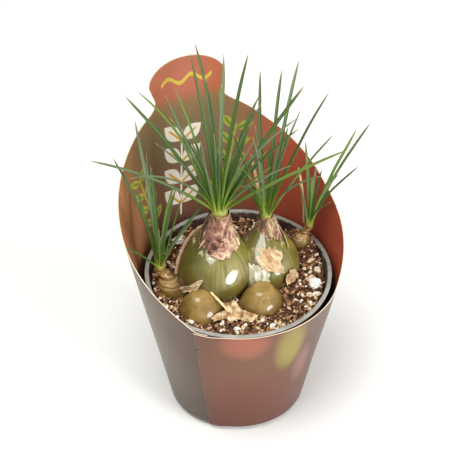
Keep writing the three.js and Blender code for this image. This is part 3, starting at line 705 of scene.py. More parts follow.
def crumb_paint():
    paint = Paint("crumbs", Roughness=0.9, Specular_IOR_Level=0.2)
    shade, _, _ = paint.look()
    grain = paint.noise(0.5, 4)
    colour = paint.ramp(shade + (grain - 0.5) * 0.22, [
        (0.0, "2a1a12"), (0.3, "563726"), (0.52, "8a5f40"), (0.7, "bd936a"), (0.86, "e0c8a0"),
        (1.0, "f4efe6"),
    ])
    paint.bump(grain, 0.25)
    return paint.wear(Base_Color=colour)


def bulb_paint(name, shades, husk, husk_share, gloss, older_share=0.0, ringed=0.0):
    """Skin of a bulb: look holds the direction round it as cosine and sine, and the height.

    Shades run from its foot to its neck. An older scale still covers it above a torn line, and
    its neck may be ringed with the edges of lost scales.
    """
    paint = Paint(
        name, Specular_IOR_Level=0.25, Coat_Weight=gloss, Coat_Roughness=0.1, Coat_IOR=1.6,
        Subsurface_Weight=0.08, Subsurface_Scale=0.004,
    )
    turn_x, turn_y, height = paint.look()

    def noise_round(detail, across, along):
        return paint.noise_at(detail, turn_x * across, turn_y * across, height * along)

    streaks = noise_round(4, 15, 0.9)
    veins = noise_round(2, 34, 1.3)
    ragged = noise_round(5, 2.6, 0.0)
    rings = noise_round(3, 0.4, 7)
    blend = paint.noise(10, 2) * 0.9 + streaks * 0.28 + height * 0.34 - 0.14
    husks = paint.noise(4, 5) * 0.7 + veins * 0.3 + height.rise(0.1, -0.7) * husk_share
    patches = husks.rise(0.58, 0.66)
    over = height - ragged * 0.4 - TORN_HEIGHT
    older = over.rise(-0.01, 0.03)
    band = height.rise(0.05, 0.3) * height.rise(0.75, 0.5) * streaks.rise(0.3, 0.6)
    pale = (turn_y * 0.17 - turn_x * 0.98).rise(0.72, 1) * band
    # Painted shade: the older scale is darker on the side towards -X, away from the key light.
    painted_shade_left = (turn_x * 0.3 - turn_y * 0.95).rise(0.35, 0.95)
    line = abs(over).rise(0.035, 0.012) * ragged.rise(0.42, 0.55)
    colour = paint.over(
        paint.ramp(blend, list(zip((0.12, 0.36, 0.55, 0.78), shades))),
        (veins.rise(0.56, 0.72) * 0.2, shades[1]),
        (patches * 0.85, husk),
        (older * older_share, paint.mix(streaks.rise(0.35, 0.65), "4a3c1c", "7d7438")),
        (pale * (older_share * 0.7), "aca86c"),
        (painted_shade_left * (older_share * 0.85), "2f2a0e"),
        (line * older_share, "e4d3a6"),
        (
            height.rise(0.3, 0.6) * rings.rise(0.36, 0.5) * ringed,
            paint.ramp(rings, [(0.38, "4a2f17"), (0.5, "85592d"), (0.62, "c0a56e")]),
        ),
    )
    paint.bump(veins * 0.4 + streaks * 0.6 + older * older_share * 1.5 + rings * ringed, 0.25)
    return paint.wear(Base_Color=colour, Roughness=patches * 0.35 + streaks * 0.2 + 0.25)


def paper_paint(name, dark, middle, light, sheen, stain=0.0):
    """Dry tunic: look holds the place along and across its grain, and a shade from 0 to 1, in which some
    pieces carry painted shade and light.
    """
    paint = Paint(name, Specular_IOR_Level=0.3, Sheen_Weight=sheen)
    along, across, shade = paint.look()
    fibres = paint.noise_at(4, across * 9, along * 1.2, 0.0)
    blend = shade * 0.6 + fibres * 0.35 + paint.noise(2.5, 3) * 0.2 - 0.25
    colour = paint.ramp(blend, [(0.08, dark), (0.32, middle), (0.56, light)])
    stains = paint.noise_at(3, across * 2.4, along * 0.5, 7.0).rise(0.5, 0.62)
    colour = paint.mix(stains * stain, colour, dark)
    paint.bump(fibres, 0.25)
    return paint.wear(Base_Color=colour, Roughness=fibres * 0.3 + 0.55)


def leaf_paint():
    """Leaf: look holds the share along it, a draw of its own and the place across."""
    paint = Paint("leaf", Specular_IOR_Level=0.4, Subsurface_Weight=0.1, Subsurface_Scale=0.002)
    along, draw, across = paint.look()
    fibres = paint.noise_at(3, across * 5, along * 3, draw * 40)
    body = paint.ramp(along + (fibres - 0.5) * 0.1 - draw * 0.06, [
        (0.0, "98a038"), (0.07, "789029"), (0.17, "4d7720"), (0.34, "3d6024"), (0.85, "365424"),
        (1.0, "5f6330"),
    ])
    colour = paint.over(
        body,
        (draw.rise(0.5, 0.95) * along.rise(0.1, 0.35) * 0.8, "66785c"),
        (draw.rise(0.3, 0.05) * along.rise(0.1, 0.3) * 0.5, "7d9a3e"),
        # Painted highlight: a lighter line along the middle of each blade.
        (abs(across).rise(0.5, 0.1) * 0.3, "7f9a55"),
        (along.rise(0.93, 1) * draw.rise(0.3, 0.6), "a98850"),
    )
    paint.bump(fibres, 0.12)
    return paint.wear(Base_Color=colour, Roughness=fibres * 0.25 + draw * 0.15 + 0.3)


def sheath_paint():
    """Foot of a tuft: look holds the share up it and the direction round it."""
    paint = Paint("sheath", Roughness=0.55, Subsurface_Weight=0.1, Subsurface_Scale=0.002)
    up, turn_x, turn_y = paint.look()
    fibres = paint.noise_at(4, turn_x * 7, turn_y * 7, up * 0.8)
    colour = paint.ramp(up + (fibres - 0.5) * 0.5, [
        (0.0, "8a5f3a"), (0.3, "a98a4c"), (0.6, "93a048"), (1.0, "6d9036"),
    ])
    paint.bump(fibres, 0.4)
    return paint.wear(Base_Color=colour)


def perlite_paint():
    paint = Paint("perlite", Roughness=0.85, Subsurface_Weight=0.15, Subsurface_Scale=0.002)
    # Painted shade: the pits, where the bump sinks, are darker.
    pits = paint.cells(0.7) + paint.noise(1.5, 4) * 0.6
    colour = paint.ramp(pits, [(0.2, "c9b8a6"), (0.5, "efe8dd"), (0.9, "faf8f3")])
    paint.bump(pits, 0.5)
    return paint.wear(Base_Color=colour)


def floor_paint():
    paint = Paint("floor", Roughness=0.8)
    return paint.wear(Base_Color=paint.ramp(paint.noise(120, 2), [(0.3, "ebeae7"), (0.7, "f0efec")]))


# ---------------- pot and sleeve


def sleeve_radius(angle, height):
    """Radius of the sleeve's outer face at angles and heights above the rim."""
    aside = np.sin(np.radians(angle - TOUCH_ANGLE))
    bulge = np.where(aside > 0, BULGE_LEFT, BULGE_RIGHT) * aside ** 2
    lap_start = SEAM_ANGLE - SEAM_LAP
    lap = (SLEEVE_THICKNESS + GAP) * smoothstep(angle, lap_start - 12, lap_start)
    return SLEEVE_RIM_RADIUS + height * WALL_SLOPE + bulge + lap


def sleeve_inside(z):
    return SLEEVE_RIM_RADIUS - SLEEVE_THICKNESS + (z - TOP) * WALL_SLOPE


def pot_wall_outside(z):
    return POT_LIP_RADIUS - POT_LIP_OVERHANG + (z - TOP) * WALL_SLOPE


def pot_wall_inside(z):
    return pot_wall_outside(z) - POT_WALL


# Height above the rim and half-angle of the label's edge, from its foot to where the head rounds.
LABEL_EDGE = [
    (0, LABEL_FOOT_ANGLE), (8, 117), (16, 100), (24, 82), (32, 68), (40, 54), (48, 39), (54, 28),
    (58, 19.6), (62, 16.6), (66, 17.4), (HEAD_CENTRE, HEAD_ANGLE),
]
# The label narrows over its first rows.
NARROWING_ROWS = 10


def label_rows():
    """Heights and half-angles of the label's edge: a smooth curve, then a quarter ellipse."""
    rounding = np.radians(np.arange(3, 88, 3.5))
    heights = HEAD_CENTRE + (HEAD_HEIGHT - HEAD_CENTRE) * np.sin(rounding)
    head = joined(heights, HEAD_ANGLE * np.cos(rounding))
    return np.vstack([smooth_path(LABEL_EDGE, 5), head])[1:]


def notch(height):
    """How far in degrees the seam's end is cut back by a small pointed notch."""
    away = np.abs(height - SEAM_NOTCH["middle"]) / SEAM_NOTCH["half"]
    return SEAM_NOTCH["depth"] * np.clip(1 - away, 0, 1)


def make_sleeve(paints):
    before, across, after = SLEEVE_COLUMNS
    label = np.linspace(-LABEL_FOOT_ANGLE, LABEL_FOOT_ANGLE, across)
    left = np.linspace(SEAM_ANGLE - 360 - SEAM_LAP, -LABEL_FOOT_ANGLE, before)[:-1]
    right = np.linspace(LABEL_FOOT_ANGLE, SEAM_ANGLE, after)[1:]
    columns = np.hstack([left, label, right])
    band = np.arange(SLEEVE_FOOT - TOP, 0.5, 1.0)
    angles, heights = np.meshgrid(columns, band)
    angles = angles - notch(heights) * smoothstep(angles, SEAM_ANGLE - 9, SEAM_ANGLE)
    faces = grid_faces(len(band), len(columns))
    angles, heights = [angles.ravel()], [heights.ravel()]
    count = angles[0].size
    below = np.arange(len(label)) + (len(band) - 1) * len(columns) + len(left)
    for height, half in label_rows():
        above = np.arange(len(label)) + count
        angles.append(label * half / LABEL_FOOT_ANGLE)
        heights.append(np.full(len(label), height))
        faces += joined(below[:-1], below[1:], above[1:], above[:-1]).tolist()
        count += len(label)
        below = above
    angle, height = np.hstack(angles), np.hstack(heights)
    wave = 0.1 * np.sin(np.radians(angle * 5)) * np.sin(height / 9)
    outer = sleeve_radius(angle, height) + wave
    front, back = (
        points_round(radius, np.radians(angle), TOP + height)
        for radius in (outer, outer - SLEEVE_THICKNESS)
    )
    points, faces, kinds = sheet(front, back, faces)
    look = np.tile(joined(angle, height, 0), (2, 1))
    Body().add(points, faces, look, kinds).piece("sleeve_card", paints, "printed_card", ["sleeve"])


def lathe(profile, sides):
    """Rings of points turned from a profile of (radius, z), whose ends lie on the axis."""
    inner = np.asarray(profile[1:-1], float)
    rings = points_round(inner[:, :1], -turns(sides), inner[:, 1:])
    return capped(rings, (0, 0, profile[0][1]), (0, 0, profile[-1][1]))


def make_pot(paint):
    lip_foot = TOP - POT_LIP_DEPTH
    lip_radius = POT_LIP_RADIUS - POT_LIP_DEPTH * WALL_SLOPE
    roll = [
        (POT_LIP_RADIUS - 0.5 + 0.45 * math.cos(turn), TOP - 0.45 + 0.45 * math.sin(turn))
        for turn in np.radians([0, 30, 60, 90])
    ]
    inside = pot_wall_inside(TOP)
    profile = [
        (0, 0.6), (12, 0.6), (12.4, 0), (pot_wall_outside(0) - 1.4, 0),
        (pot_wall_outside(0.4) - 0.4, 0.4), (pot_wall_outside(1), 1),
        *[(pot_wall_outside(z), z) for z in (2, 20, 40, 60, lip_foot - 0.2)],
        (lip_radius - 0.2, lip_foot), (lip_radius, lip_foot + 0.3), *roll,
        (inside + 0.45, TOP), (inside + 0.1, TOP - 0.15), (inside, TOP - 0.5),
        *[(pot_wall_inside(z), z) for z in (60, 40, 20, POT_FLOOR + 0.8)],
        (pot_wall_inside(POT_FLOOR) - 0.8, POT_FLOOR), (0, POT_FLOOR),
    ]
    shell = Body().add(*lathe(profile, SIDES["pot"]))
    pot = shell.piece("nursery_pot", [paint], "pot_plastic", ["pot"])
    hole = [(0, -3), (DRAIN_RADIUS, -3), (DRAIN_RADIUS, 4), (0, 4)]
    drills = Body()
    for index in range(DRAIN_COUNT):
        place = around(360 * index / DRAIN_COUNT, DRAIN_CIRCLE, 0)
        points, faces = lathe(hole, SIDES["drain"])
        drills.add(points + place, faces)
    cutter = drills.piece("drain_drill", [paint], "pot_plastic")
    cut = pot.modifiers.new("drains", "BOOLEAN")
    cut.object = cutter
    cut.solver = "EXACT"
    bpy.context.view_layer.update()
    drilled = pot.evaluated_get(bpy.context.evaluated_depsgraph_get())
    shaped = bpy.data.meshes.new_from_object(drilled)
    pot.modifiers.clear()
    pot.data = shaped
    bpy.data.objects.remove(cutter)
    for polygon in shaped.polygons:
        polygon.use_smooth = abs(polygon.normal.z) < 0.9


# ---------------- bulbs


def full_outline(bulb):
    """A bulb's outline in radii from its foot to the top of its neck, as a smooth curve."""
    neck = bulb["neck"] / bulb["radius"], bulb["top"] / bulb["radius"]
    return smooth_path([(0, -1), *BULB_OUTLINE, neck], 8)


def lobes(bulb, side):
    """How far a bulb's sides swell out of the round, as a factor."""
    return 1 + 0.025 * np.cos(2 * side + bulb["radius"]) + 0.015 * np.cos(3 * side + 1)


def leaned(bulb, out, side, z):
    """Points so far out from a bulb's axis at a side, moved to its centre and with its lean."""
    lift = np.clip(z / bulb["top"], 0, 1) ** 2
    centre, lean = bulb["centre"], bulb["lean"]
    return points_round(out, side, centre[2] + z, centre) + joined(lean[0] * lift, lean[1] * lift, 0)


def on_skin(bulb, direction, elevation, height):
    """Points over a bulb's skin, at directions and elevations from its centre."""
    outline = full_outline(bulb)
    slope = np.arctan2(outline[:, 1], outline[:, 0])
    level, side = np.radians(elevation), np.radians(direction)
    reach = np.interp(level, slope, np.hypot(*outline.T)) * bulb["radius"]
    out = reach * np.cos(level) * lobes(bulb, side) + height * np.cos(level)
    return leaned(bulb, out, side, (reach + height) * np.sin(level))


def on_shoulder(bulb, direction, radius, height):
    """Points over a bulb's upper skin, at distances from the neck's axis."""
    outline = full_outline(bulb)
    upper = outline[np.argmax(outline[:, 0]):][::-1]
    out = np.clip(radius / bulb["radius"], upper[0, 0], 1)
    z = np.interp(out, upper[:, 0], upper[:, 1]) * bulb["radius"] + height
    side = np.radians(direction)
    return leaned(bulb, radius * lobes(bulb, side), side, z)


def neck_top(bulb):
    centre, lean = bulb["centre"], bulb["lean"]
    return np.array([centre[0] + lean[0], centre[1] + lean[1], centre[2] + bulb["top"]], float)


def tube(path, radii, sides, flatten=1.0):
    """A round body along a path, pointed at both ends; flatten squeezes it in height."""
    path = np.asarray(path, float)
    along = unit(np.gradient(path, axis=0))
    across = unit(joined(-along[:, 1], along[:, 0], 1e-4))
    up = unit(np.cross(across, along)) * flatten
    turn = -turns(sides)[:, None]
    ring = across[:, None] * np.cos(turn) + up[:, None] * np.sin(turn)
    root = path[0] - along[0] * radii[0] * 0.4
    tip = path[-1] + along[-1] * radii[-1] * 0.7
    return capped(path[:, None] + ring * np.asarray(radii)[:, None, None], root, tip)


def make_bulb(name, bulb, paint, slot):
    outline = full_outline(bulb)[1:]
    side = -turns(SIDES["bulb"])
    up = outline[:, 1:] * bulb["radius"]
    reach = bulb["radius"] * outline[:, :1] * lobes(bulb, side)
    points = leaned(bulb, reach, side, up)
    centre = np.array(bulb["centre"], float)
    swell = rough(points, bulb["radius"] * 0.45, 3.1) * 0.018 * reach
    points = points + unit(points - centre) * swell[..., None]
    points, faces = capped(points, centre - (0, 0, bulb["radius"]), neck_top(bulb))
    look = joined(np.cos(side), np.sin(side), up / bulb["radius"])
    body = Body().add(points, faces, with_ends(look, (0, 0, -1), (0, 0, 1)))
    roots = ROOTS.get(name, 0)
    for index in range(roots):
        direction = 360 * index / roots + 15
        start = centre - (0, 0, bulb["radius"] * 0.72) + heading(direction, 0) * 3
        bend = start + heading(direction, -48) * 12
        path = smooth_path([start, bend, bend + heading(direction, -76) * 16], 6)
        body.add(*tube(path, np.linspace(1.5, 0.6, len(path)), SIDES["root"]), (0.3, 0.3, -0.9))
    body.piece(f"{name}_skin", [paint], slot, [name])


# ---------------- leaves


def leaf_path(foot, direction, foot_tilt, tip_tilt, length, curl=0.0):
    path = [foot]
    for step in range(LEAF_STEPS):
        share = (step + 0.5) / LEAF_STEPS
        tilt = lerp(foot_tilt, tip_tilt, share)
        path.append(path[-1] + heading(direction + curl * share, 90 - tilt) * (length / LEAF_STEPS))
    return np.array(path)


def blade_half_width(half_width, share):
    return half_width * (1 - 0.35 * share ** 3)


def leaves_clear(path, half_width, others):
    """Whether a leaf keeps clear of all the others, stretch by stretch."""
    if not others:
        return True
    paths = np.array([other["path"] for other in others])
    shares = np.arange(LEAF_STEPS) / LEAF_STEPS
    widths = np.array([blade_half_width(other["half_width"], shares) for other in others])
    room = blade_half_width(half_width, shares)[None, :, None] + widths[:, None, :] + GAP
    along_a = np.diff(path, axis=0)[None, :, None]
    along_b = np.diff(paths, axis=1)[:, None]
    between = path[None, :-1, None] - paths[:, None, :-1]
    pairs = [
        (along_a, along_a), (along_a, along_b), (along_b, along_b), (along_a, between),
        (along_b, between),
    ]
    a, b, c, d, e = ((one * two).sum(-1) for one, two in pairs)
    spread = a * c - b * b
    wide = spread > 1e-9
    share_a = np.where(wide, np.clip((b * e - c * d) / np.where(wide, spread, 1), 0, 1), 0)
    share_b = np.clip((b * share_a + e) / c, 0, 1)
    share_a = np.clip((b * share_b - d) / a, 0, 1)
    apart = between + along_a * share_a[..., None] - along_b * share_b[..., None]
    return bool((np.linalg.norm(apart, axis=-1) >= room).all())


def edge_height(angle):
    """Height of the sleeve's edge above the rim, at an angle round the pot."""
    turned = abs(angle)
    rows = LABEL_EDGE[:NARROWING_ROWS]
    for (low, low_angle), (high, high_angle) in zip(rows, rows[1:]):
        if high_angle <= turned <= low_angle:
            return lerp(low, high, (low_angle - turned) / (low_angle - high_angle))
    return 0 if turned > LABEL_FOOT_ANGLE else HEAD_HEIGHT


def clear_of_sleeve(path, half_width):
    room = half_width + GAP + LEAF_ROOM
    for start, end in zip(path, path[1:]):
        for share in (0.25, 0.5, 0.75, 1):
            x, y, z = start + (end - start) * share
            over_edge = z > TOP + edge_height(math.degrees(math.atan2(x, y))) + room
            if not over_edge and math.hypot(x, y) > sleeve_inside(z) - room:
                return False
    return True


def settle_leaf(foot, leaf, curl, others):
    """Turns a leaf by a little more each time until it is clear of the sleeve and the others."""
    direction, foot_tilt, tip_tilt, length, half_width = leaf
    for attempt in range(TRIES):
        turn = (1 if attempt % 2 else -1) * math.ceil(attempt / 2) * TRY_TURN
        path = leaf_path(foot, direction + turn, foot_tilt, tip_tilt, length, curl)
        if clear_of_sleeve(path, half_width) and leaves_clear(path, half_width, others):
            return dict(path=path, half_width=half_width)
    return None


def grow_tuft(tuft, others):
    """The stated leaves, then leaves round the neck by the golden angle."""
    bulb = BULBS[tuft["bulb"]]
    draw = seeded_random(tuft["seed"])
    collar = neck_top(bulb) + (0, 0, tuft["height"] * 0.55)
    plans = [(leaf, 0, 0.45) for leaf in tuft["stated"]]
    for index in range(tuft["count"]):
        direction = GOLDEN_ANGLE * index + 20 * draw()
        openness = 0.5 + 0.5 * math.cos(math.radians(direction - OPEN_SIDE))
        sideways = abs(math.sin(math.radians(direction - OPEN_SIDE)))
        foot_tilt = 4 + (6 + 14 * openness + 20 * sideways) * draw()
        tip_tilt = foot_tilt + 4 + (14 + 10 * openness + 34 * sideways) * draw() ** 2
        share = draw() * (0.45 + 0.55 * openness)
        length = lerp(*tuft["length"], share)
        half_width = 0.68 + 0.27 * draw()
        curl = 44 * (draw() - 0.5)
        plans.append(((direction, foot_tilt, tip_tilt, length, half_width), curl, 0.2 + 0.4 * draw()))
    settled = []
    for leaf, curl, ring in plans:
        foot = collar + heading(leaf[0], 0) * (bulb["neck"] * ring)
        settled.append(settle_leaf(foot, leaf, curl, others))
    return [leaf for leaf in settled if leaf]


# Section of a blade in half-widths, across and up: a channel above and a keel below.
BLADE_SECTION = [
    (-1, 0.25), (-0.86, 0.3), (-0.5, 0.02), (0, -0.14), (0.5, 0.02), (0.86, 0.3), (1, 0.25),
    (0.66, -0.36), (0, -0.85), (-0.66, -0.36),
]


def blade(path, half_width, draws):
    """A fine blade along the same path as its solid, a little twisted and swaying."""
    fine = smooth_path(path, 6)
    share = np.linspace(0, 1, len(fine))
    draw = draws.rand()
    along = unit(np.gradient(fine, axis=0))
    whole = path[-1] - path[0]
    across = unit(np.array([whole[1], -whole[0], 0]))
    up = unit(np.cross(across, along))
    sway = 0.65 * share * rough(joined(share * 3, 0, 0), 1, draw * 50)
    fine = fine + across * sway[:, None]
    twist = (math.radians(70) * (draws.rand() - 0.5) * share)[:, None]
    turned = across * np.cos(twist) + up * np.sin(twist)
    raised = up * np.cos(twist) - across * np.sin(twist)
    wide = 0.92 * blade_half_width(half_width, share)
    wide = wide * np.sqrt(np.clip(1 - (np.maximum(share - 0.8, 0) / 0.2) ** 2, 0.02, 1))
    section = np.array(BLADE_SECTION)
    rings = fine[:, None] + wide[:, None, None] * (
        turned[:, None] * section[:, :1] + raised[:, None] * section[:, 1:]
    )
    points, faces = capped(rings, fine[0] - along[0], fine[-1] + along[-1] * 0.6)
    look = joined(share[:, None], draw, section[:, 0])
    return points, faces, with_ends(look, (0, draw, 0), (1, draw, 0))


def tuft_foot(tuft):
    """The sheathed foot of a tuft, with the ridges of its wrapped leaf bases."""
    bulb = BULBS[tuft["bulb"]]
    base = neck_top(bulb)
    turn = -turns(SIDES["foot"])
    share = column(0, 1, 12)
    up = GAP + (tuft["height"] - GAP) * share
    ridges = 1 - 0.07 * np.abs(np.sin(2.5 * turn + 5 * share))
    out = bulb["neck"] * FOOT_SHARE * (1 - 0.38 * smoothstep(share, 0.45, 1.0)) * ridges
    rings = points_round(out, turn, base[2] + up, base)
    points, faces = capped(rings, base + (0, 0, GAP), base + (0, 0, tuft["height"] + 1))
    look = joined(share, np.cos(turn), np.sin(turn))
    return points, faces, with_ends(look, (0, 0, 0), (1, 0, 0))


def make_leaves(leaf_green, sheath, dry):
    draws = np.random.RandomState(BLADE_SEED)
    grown = []
    for name, plan in DRY_LEAVES.items():
        tuft = TUFTS[plan["tuft"]]
        bulb = BULBS[tuft["bulb"]]
        direction, *_, length, half_width = plan["leaf"]
        aside = heading(direction, 0) * (bulb["neck"] * FOOT_SHARE + GAP + half_width * 0.3)
        foot = neck_top(bulb) + aside + (0, 0, tuft["height"] * 0.6)
        path = leaf_path(foot, *plan["leaf"][:4])
        grown.append(dict(path=path, half_width=half_width))
        points, faces, looks = blade(path, half_width, draws)
        looks = looks[:, [0, 2, 1]] * (length / PAPER_SCALE, 0.3, 0.5) + (0, 0, 0.3)
        Body().add(points, faces, looks).piece(f"{name}_blade", [dry], "dry_leaf", [name])
    for name, tuft in TUFTS.items():
        leaves = grow_tuft(tuft, list(grown))
        grown += leaves
        body = Body().add(*tuft_foot(tuft), 1)
        for leaf in leaves:
            body.add(*blade(leaf["path"], leaf["half_width"], draws))
        body.piece(f"{name}_blades", [leaf_green, sheath], "leaf", [name])


# ---------------- papery pieces


def add_sheet(body, front, look, thickness=0.14, closed=False, kind=0):
    """Adds a thin sheet: a grid of points, and its back, which lies behind along their normals.

    A closed sheet joins its last column to its first.
    """
    lap = 1 if closed else 0
    padded = np.pad(front, ((0, 0), (lap, lap), (0, 0)), mode="wrap")
    normal = unit(np.cross(np.gradient(padded, axis=1), np.gradient(padded, axis=0)))
    back = front - normal[:, lap:lap + front.shape[1]] * thickness
    faces = grid_faces(*front.shape[:2], closed)
    points, faces, _ = sheet(front.reshape(-1, 3), back.reshape(-1, 3), faces)
    body.add(points, faces, np.tile(look.reshape(-1, 3), (2, 1)), kind)


def add_patch(body, bulb, at, size, reach, lift, look, slant=0, kind=0):
    """Adds a thin sheet on a bulb's skin, in rings round a middle.

    Reach is the outline against size at each turn, and slant how much it rises to the left, seen
    from outside. Lift and look are worked out from the share outwards and from the places aside
    and up, in millimetres.
    """
    turn = turns(len(reach))
    share = column(0.04, 1, 22)
    aside = share * reach * size[0] * np.sin(turn)
    up = share * reach * size[1] * np.cos(turn) + slant * aside
    per = 180 / (math.pi * bulb["radius"])
    elevation = at[1] + up * per
    direction = at[0] + aside * per / np.cos(np.radians(elevation))
    front = on_skin(bulb, direction, elevation, lift(share, aside, up))
    add_sheet(body, front, look(share, aside, up), closed=True, kind=kind)


def ring_noise(sides, size, seed):
    """Noise round a closed outline, without a seam."""
    turn = turns(sides)
    return rough(joined(np.cos(turn), np.sin(turn), 0), size, seed)


def make_flake(name, flake, paint, slot):
    """A torn patch on a bulb's skin, folded along its grain, with its rim curling up."""
    seed, tear, sides = flake["seed"], flake["tear"], SIDES["flake"]
    draw = seeded_random(seed)
    corners = flake["points"] * 2
    ragged = [0.96 + tear * (2 * draw() - 1) for _ in range(corners)]
    turn = turns(sides)
    square = (np.cos(turn) ** 4 + np.sin(turn) ** 4) ** -0.25
    reach = square * np.interp(turn, np.linspace(0, 2 * np.pi, corners + 1), [*ragged, ragged[0]])
    reach = reach * (1 + 0.16 * ring_noise(sides, 0.16, seed) + 0.08 * ring_noise(sides, 0.05, seed))
    wave = 0.6 + 0.9 * ring_noise(sides, 0.5, seed + 4)
    grain = math.radians(flake["grain"])
    sine, cosine = math.sin(grain), math.cos(grain)

    def in_grain(aside, up):
        return aside * sine + up * cosine, aside * cosine - up * sine

    def folds(aside, up):
        along, across = in_grain(aside, up)
        place = joined(across, along * 0.3, 0)
        return 0.7 * rough(place, 1.5, seed) + 0.4 * rough(place, 0.6, seed + 9)

    def lift(share, aside, up):
        curl = smoothstep(share, 0.5, 1) * wave * flake["curl"]
        return 0.8 + 0.45 * folds(aside, up) + np.maximum(curl, -0.2)

    def look(share, aside, up):
        along, across = in_grain(aside, up)
        # The flake's own tone, painted darker in the folds' hollows and lighter on their crests (painted
        # shade and light), and paler at its torn rim.
        shade = flake["shade"] + 0.5 * folds(aside, up) + 0.2 * share ** 4
        return joined(along / PAPER_SCALE, across / PAPER_SCALE, shade)

    body, bulb = Body(), BULBS[flake["bulb"]]
    add_patch(body, bulb, flake["at"], flake["size"], reach, lift, look, flake["slant"])
    body.piece(f"{name}_paper", [paint], slot, [name])


def make_edge(name, edge, paint):
    """The dried edge of an outer scale: a wavy ribbon whose outer side stands off the skin."""
    bulb = BULBS[edge["bulb"]]
    line = smooth_path(edge["path"], 16)
    share = column(0, 1, len(line))
    wavy = rough(joined(share * 22, 0, 0), 1, len(line))
    across = np.linspace(-1, 1, 9)
    width = 0.62 * (1 - 0.5 * np.abs(share * 2 - 1) ** 3) * (1 + 0.3 * wavy)
    lift = 0.35 + (1.0 + 0.5 * wavy) * ((across + 1) / 2) ** 1.6
    middle = on_skin(bulb, line[:, 0], line[:, 1], 0.0)
    along = unit(np.gradient(middle, axis=0))
    outward = unit(middle - np.array(bulb["centre"]))
    aside = np.cross(along, outward)[:, None] * (across * width)[..., None]
    front = middle[:, None] + aside + outward[:, None] * lift[..., None]
    body = Body()
    add_sheet(body, front, joined(share * 8, across * 0.2, 0.7 + 0.25 * wavy + 0.15 * across), 0.25)
    body.piece(f"{name}_paper", [paint], "papery_tunic", [name])


def tatter(body, bulb, direction, half_angle, start, length, lift, draws, upright=0.0):
    """One torn scale of a collar: rooted at the neck, ragged at its end, lying on the shoulder."""
    out = column(0, 1, 11)
    across = np.linspace(-1, 1, 13)
    seed = draws.rand() * 50
    tip = rough(joined(across * 3.2, 0, 0), 0.8, seed)
    reach = length * (1 - 0.3 * np.abs(across) ** 1.7) * (1 + 0.7 * tip)
    radius = start + out * reach * (1 - upright)
    bend = 14 * out ** 2 * (draws.rand() - 0.5)
    angle = direction + half_angle * across * (1 - 0.45 * out) + bend
    crinkle = rough(joined(out * 2, across * 2.2, 0), 0.7, seed)
    height = lift + 0.4 * crinkle + 1.2 * out ** 2.4 * draws.rand() + upright * out * reach
    front = on_shoulder(bulb, angle, radius, height)
    # A random tone with painted light and shade: lighter on the side towards the key light and darker
    # opposite, darker in the crinkles' hollows; the tip is paler.
    shade = 0.3 + 0.3 * draws.rand() + 0.22 * math.cos(math.radians(direction - LIT_SIDE))
    shade = shade + 0.4 * crinkle + 0.2 * out ** 3
    look = joined(out * length / PAPER_SCALE, across * half_angle / 30, shade)
    add_sheet(body, front, look, SCALE_THICKNESS)


def collar_reach(collar, direction):
    """How far a collar lies out from the neck; it has mostly worn away on the left."""
    facing = 0.5 - 0.5 * np.cos(np.radians(direction - OPEN_SIDE))
    kept = 0.75 - 0.25 * np.cos(np.radians(direction + 30))
    return (collar["reach"] + collar["front"] * facing) * kept


def add_mantle(body, bulb, collar):
    """The lowest dry scale: one wrinkled sheet round the neck, with a torn outer edge."""
    sides, seed = SIDES["mantle"], collar["seed"]
    direction = np.arange(sides) * (360 / sides)
    torn = 0.86 + 0.3 * ring_noise(sides, 0.4, seed) + 0.16 * ring_noise(sides, 0.09, seed)
    out = column(0, 1, 18)
    reach = collar_reach(collar, direction) * torn
    radius = bulb["neck"] * FOOT_SHARE + 0.25 + out * reach
    turn = np.radians(direction)
    place = joined(radius * np.cos(turn), radius * np.sin(turn), 0)
    crease = 0.6 * ring_noise(sides, 0.16, seed + 3) + 0.6 * rough(place, 1.5, seed)
    front = on_shoulder(bulb, direction, radius, 0.45 + 0.4 * crease + 0.5 * out ** 6)
    # Painted light and shade: lighter on the side towards the key light and darker opposite, darker in the
    # creases' hollows; the torn rim is paler.
    pale = 0.3 * np.cos(np.radians(direction - LIT_SIDE))
    shade = 0.32 + 0.45 * crease + pale + 0.5 * smoothstep(out, 0.86, 1)
    look = joined(out * reach / PAPER_SCALE, radius * turn / PAPER_SCALE, shade)
    add_sheet(body, front, look, SCALE_THICKNESS, closed=True)


def add_knot(body, bulb, knot, seed):
    """Scales crumpled into a knot on the shoulder."""
    sides = SIDES["knot"]

    def ridges(aside, up):
        place = joined(aside, up, 0)
        bend = place + 0.8 * joined(rough(place, 2.5, 4.0), rough(place, 2.5, 8.0), 0)
        return 1 - 1.9 * np.abs(rough(bend, 2.3, seed)) - 0.9 * np.abs(rough(bend, 1, seed))

    def lift(share, aside, up):
        return 0.9 + (1.2 + 0.7 * ridges(aside, up)) * (1 - share ** 3)

    def look(_, aside, up):
        # Painted light and shade: darker in the hollows between the ridges and darker on the left than the
        # right; the lower edge is cream.
        shade = 0.28 + 0.45 * ridges(aside, up) - 0.03 * aside + 0.4 * smoothstep(-up, 2.5, 5)
        return joined(aside / PAPER_SCALE, up / PAPER_SCALE, shade)

    reach = 1 + 0.22 * ring_noise(sides, 0.35, seed) + 0.12 * ring_noise(sides, 0.1, seed)
    add_patch(body, bulb, knot["at"], knot["size"], reach, lift, look, kind=1)


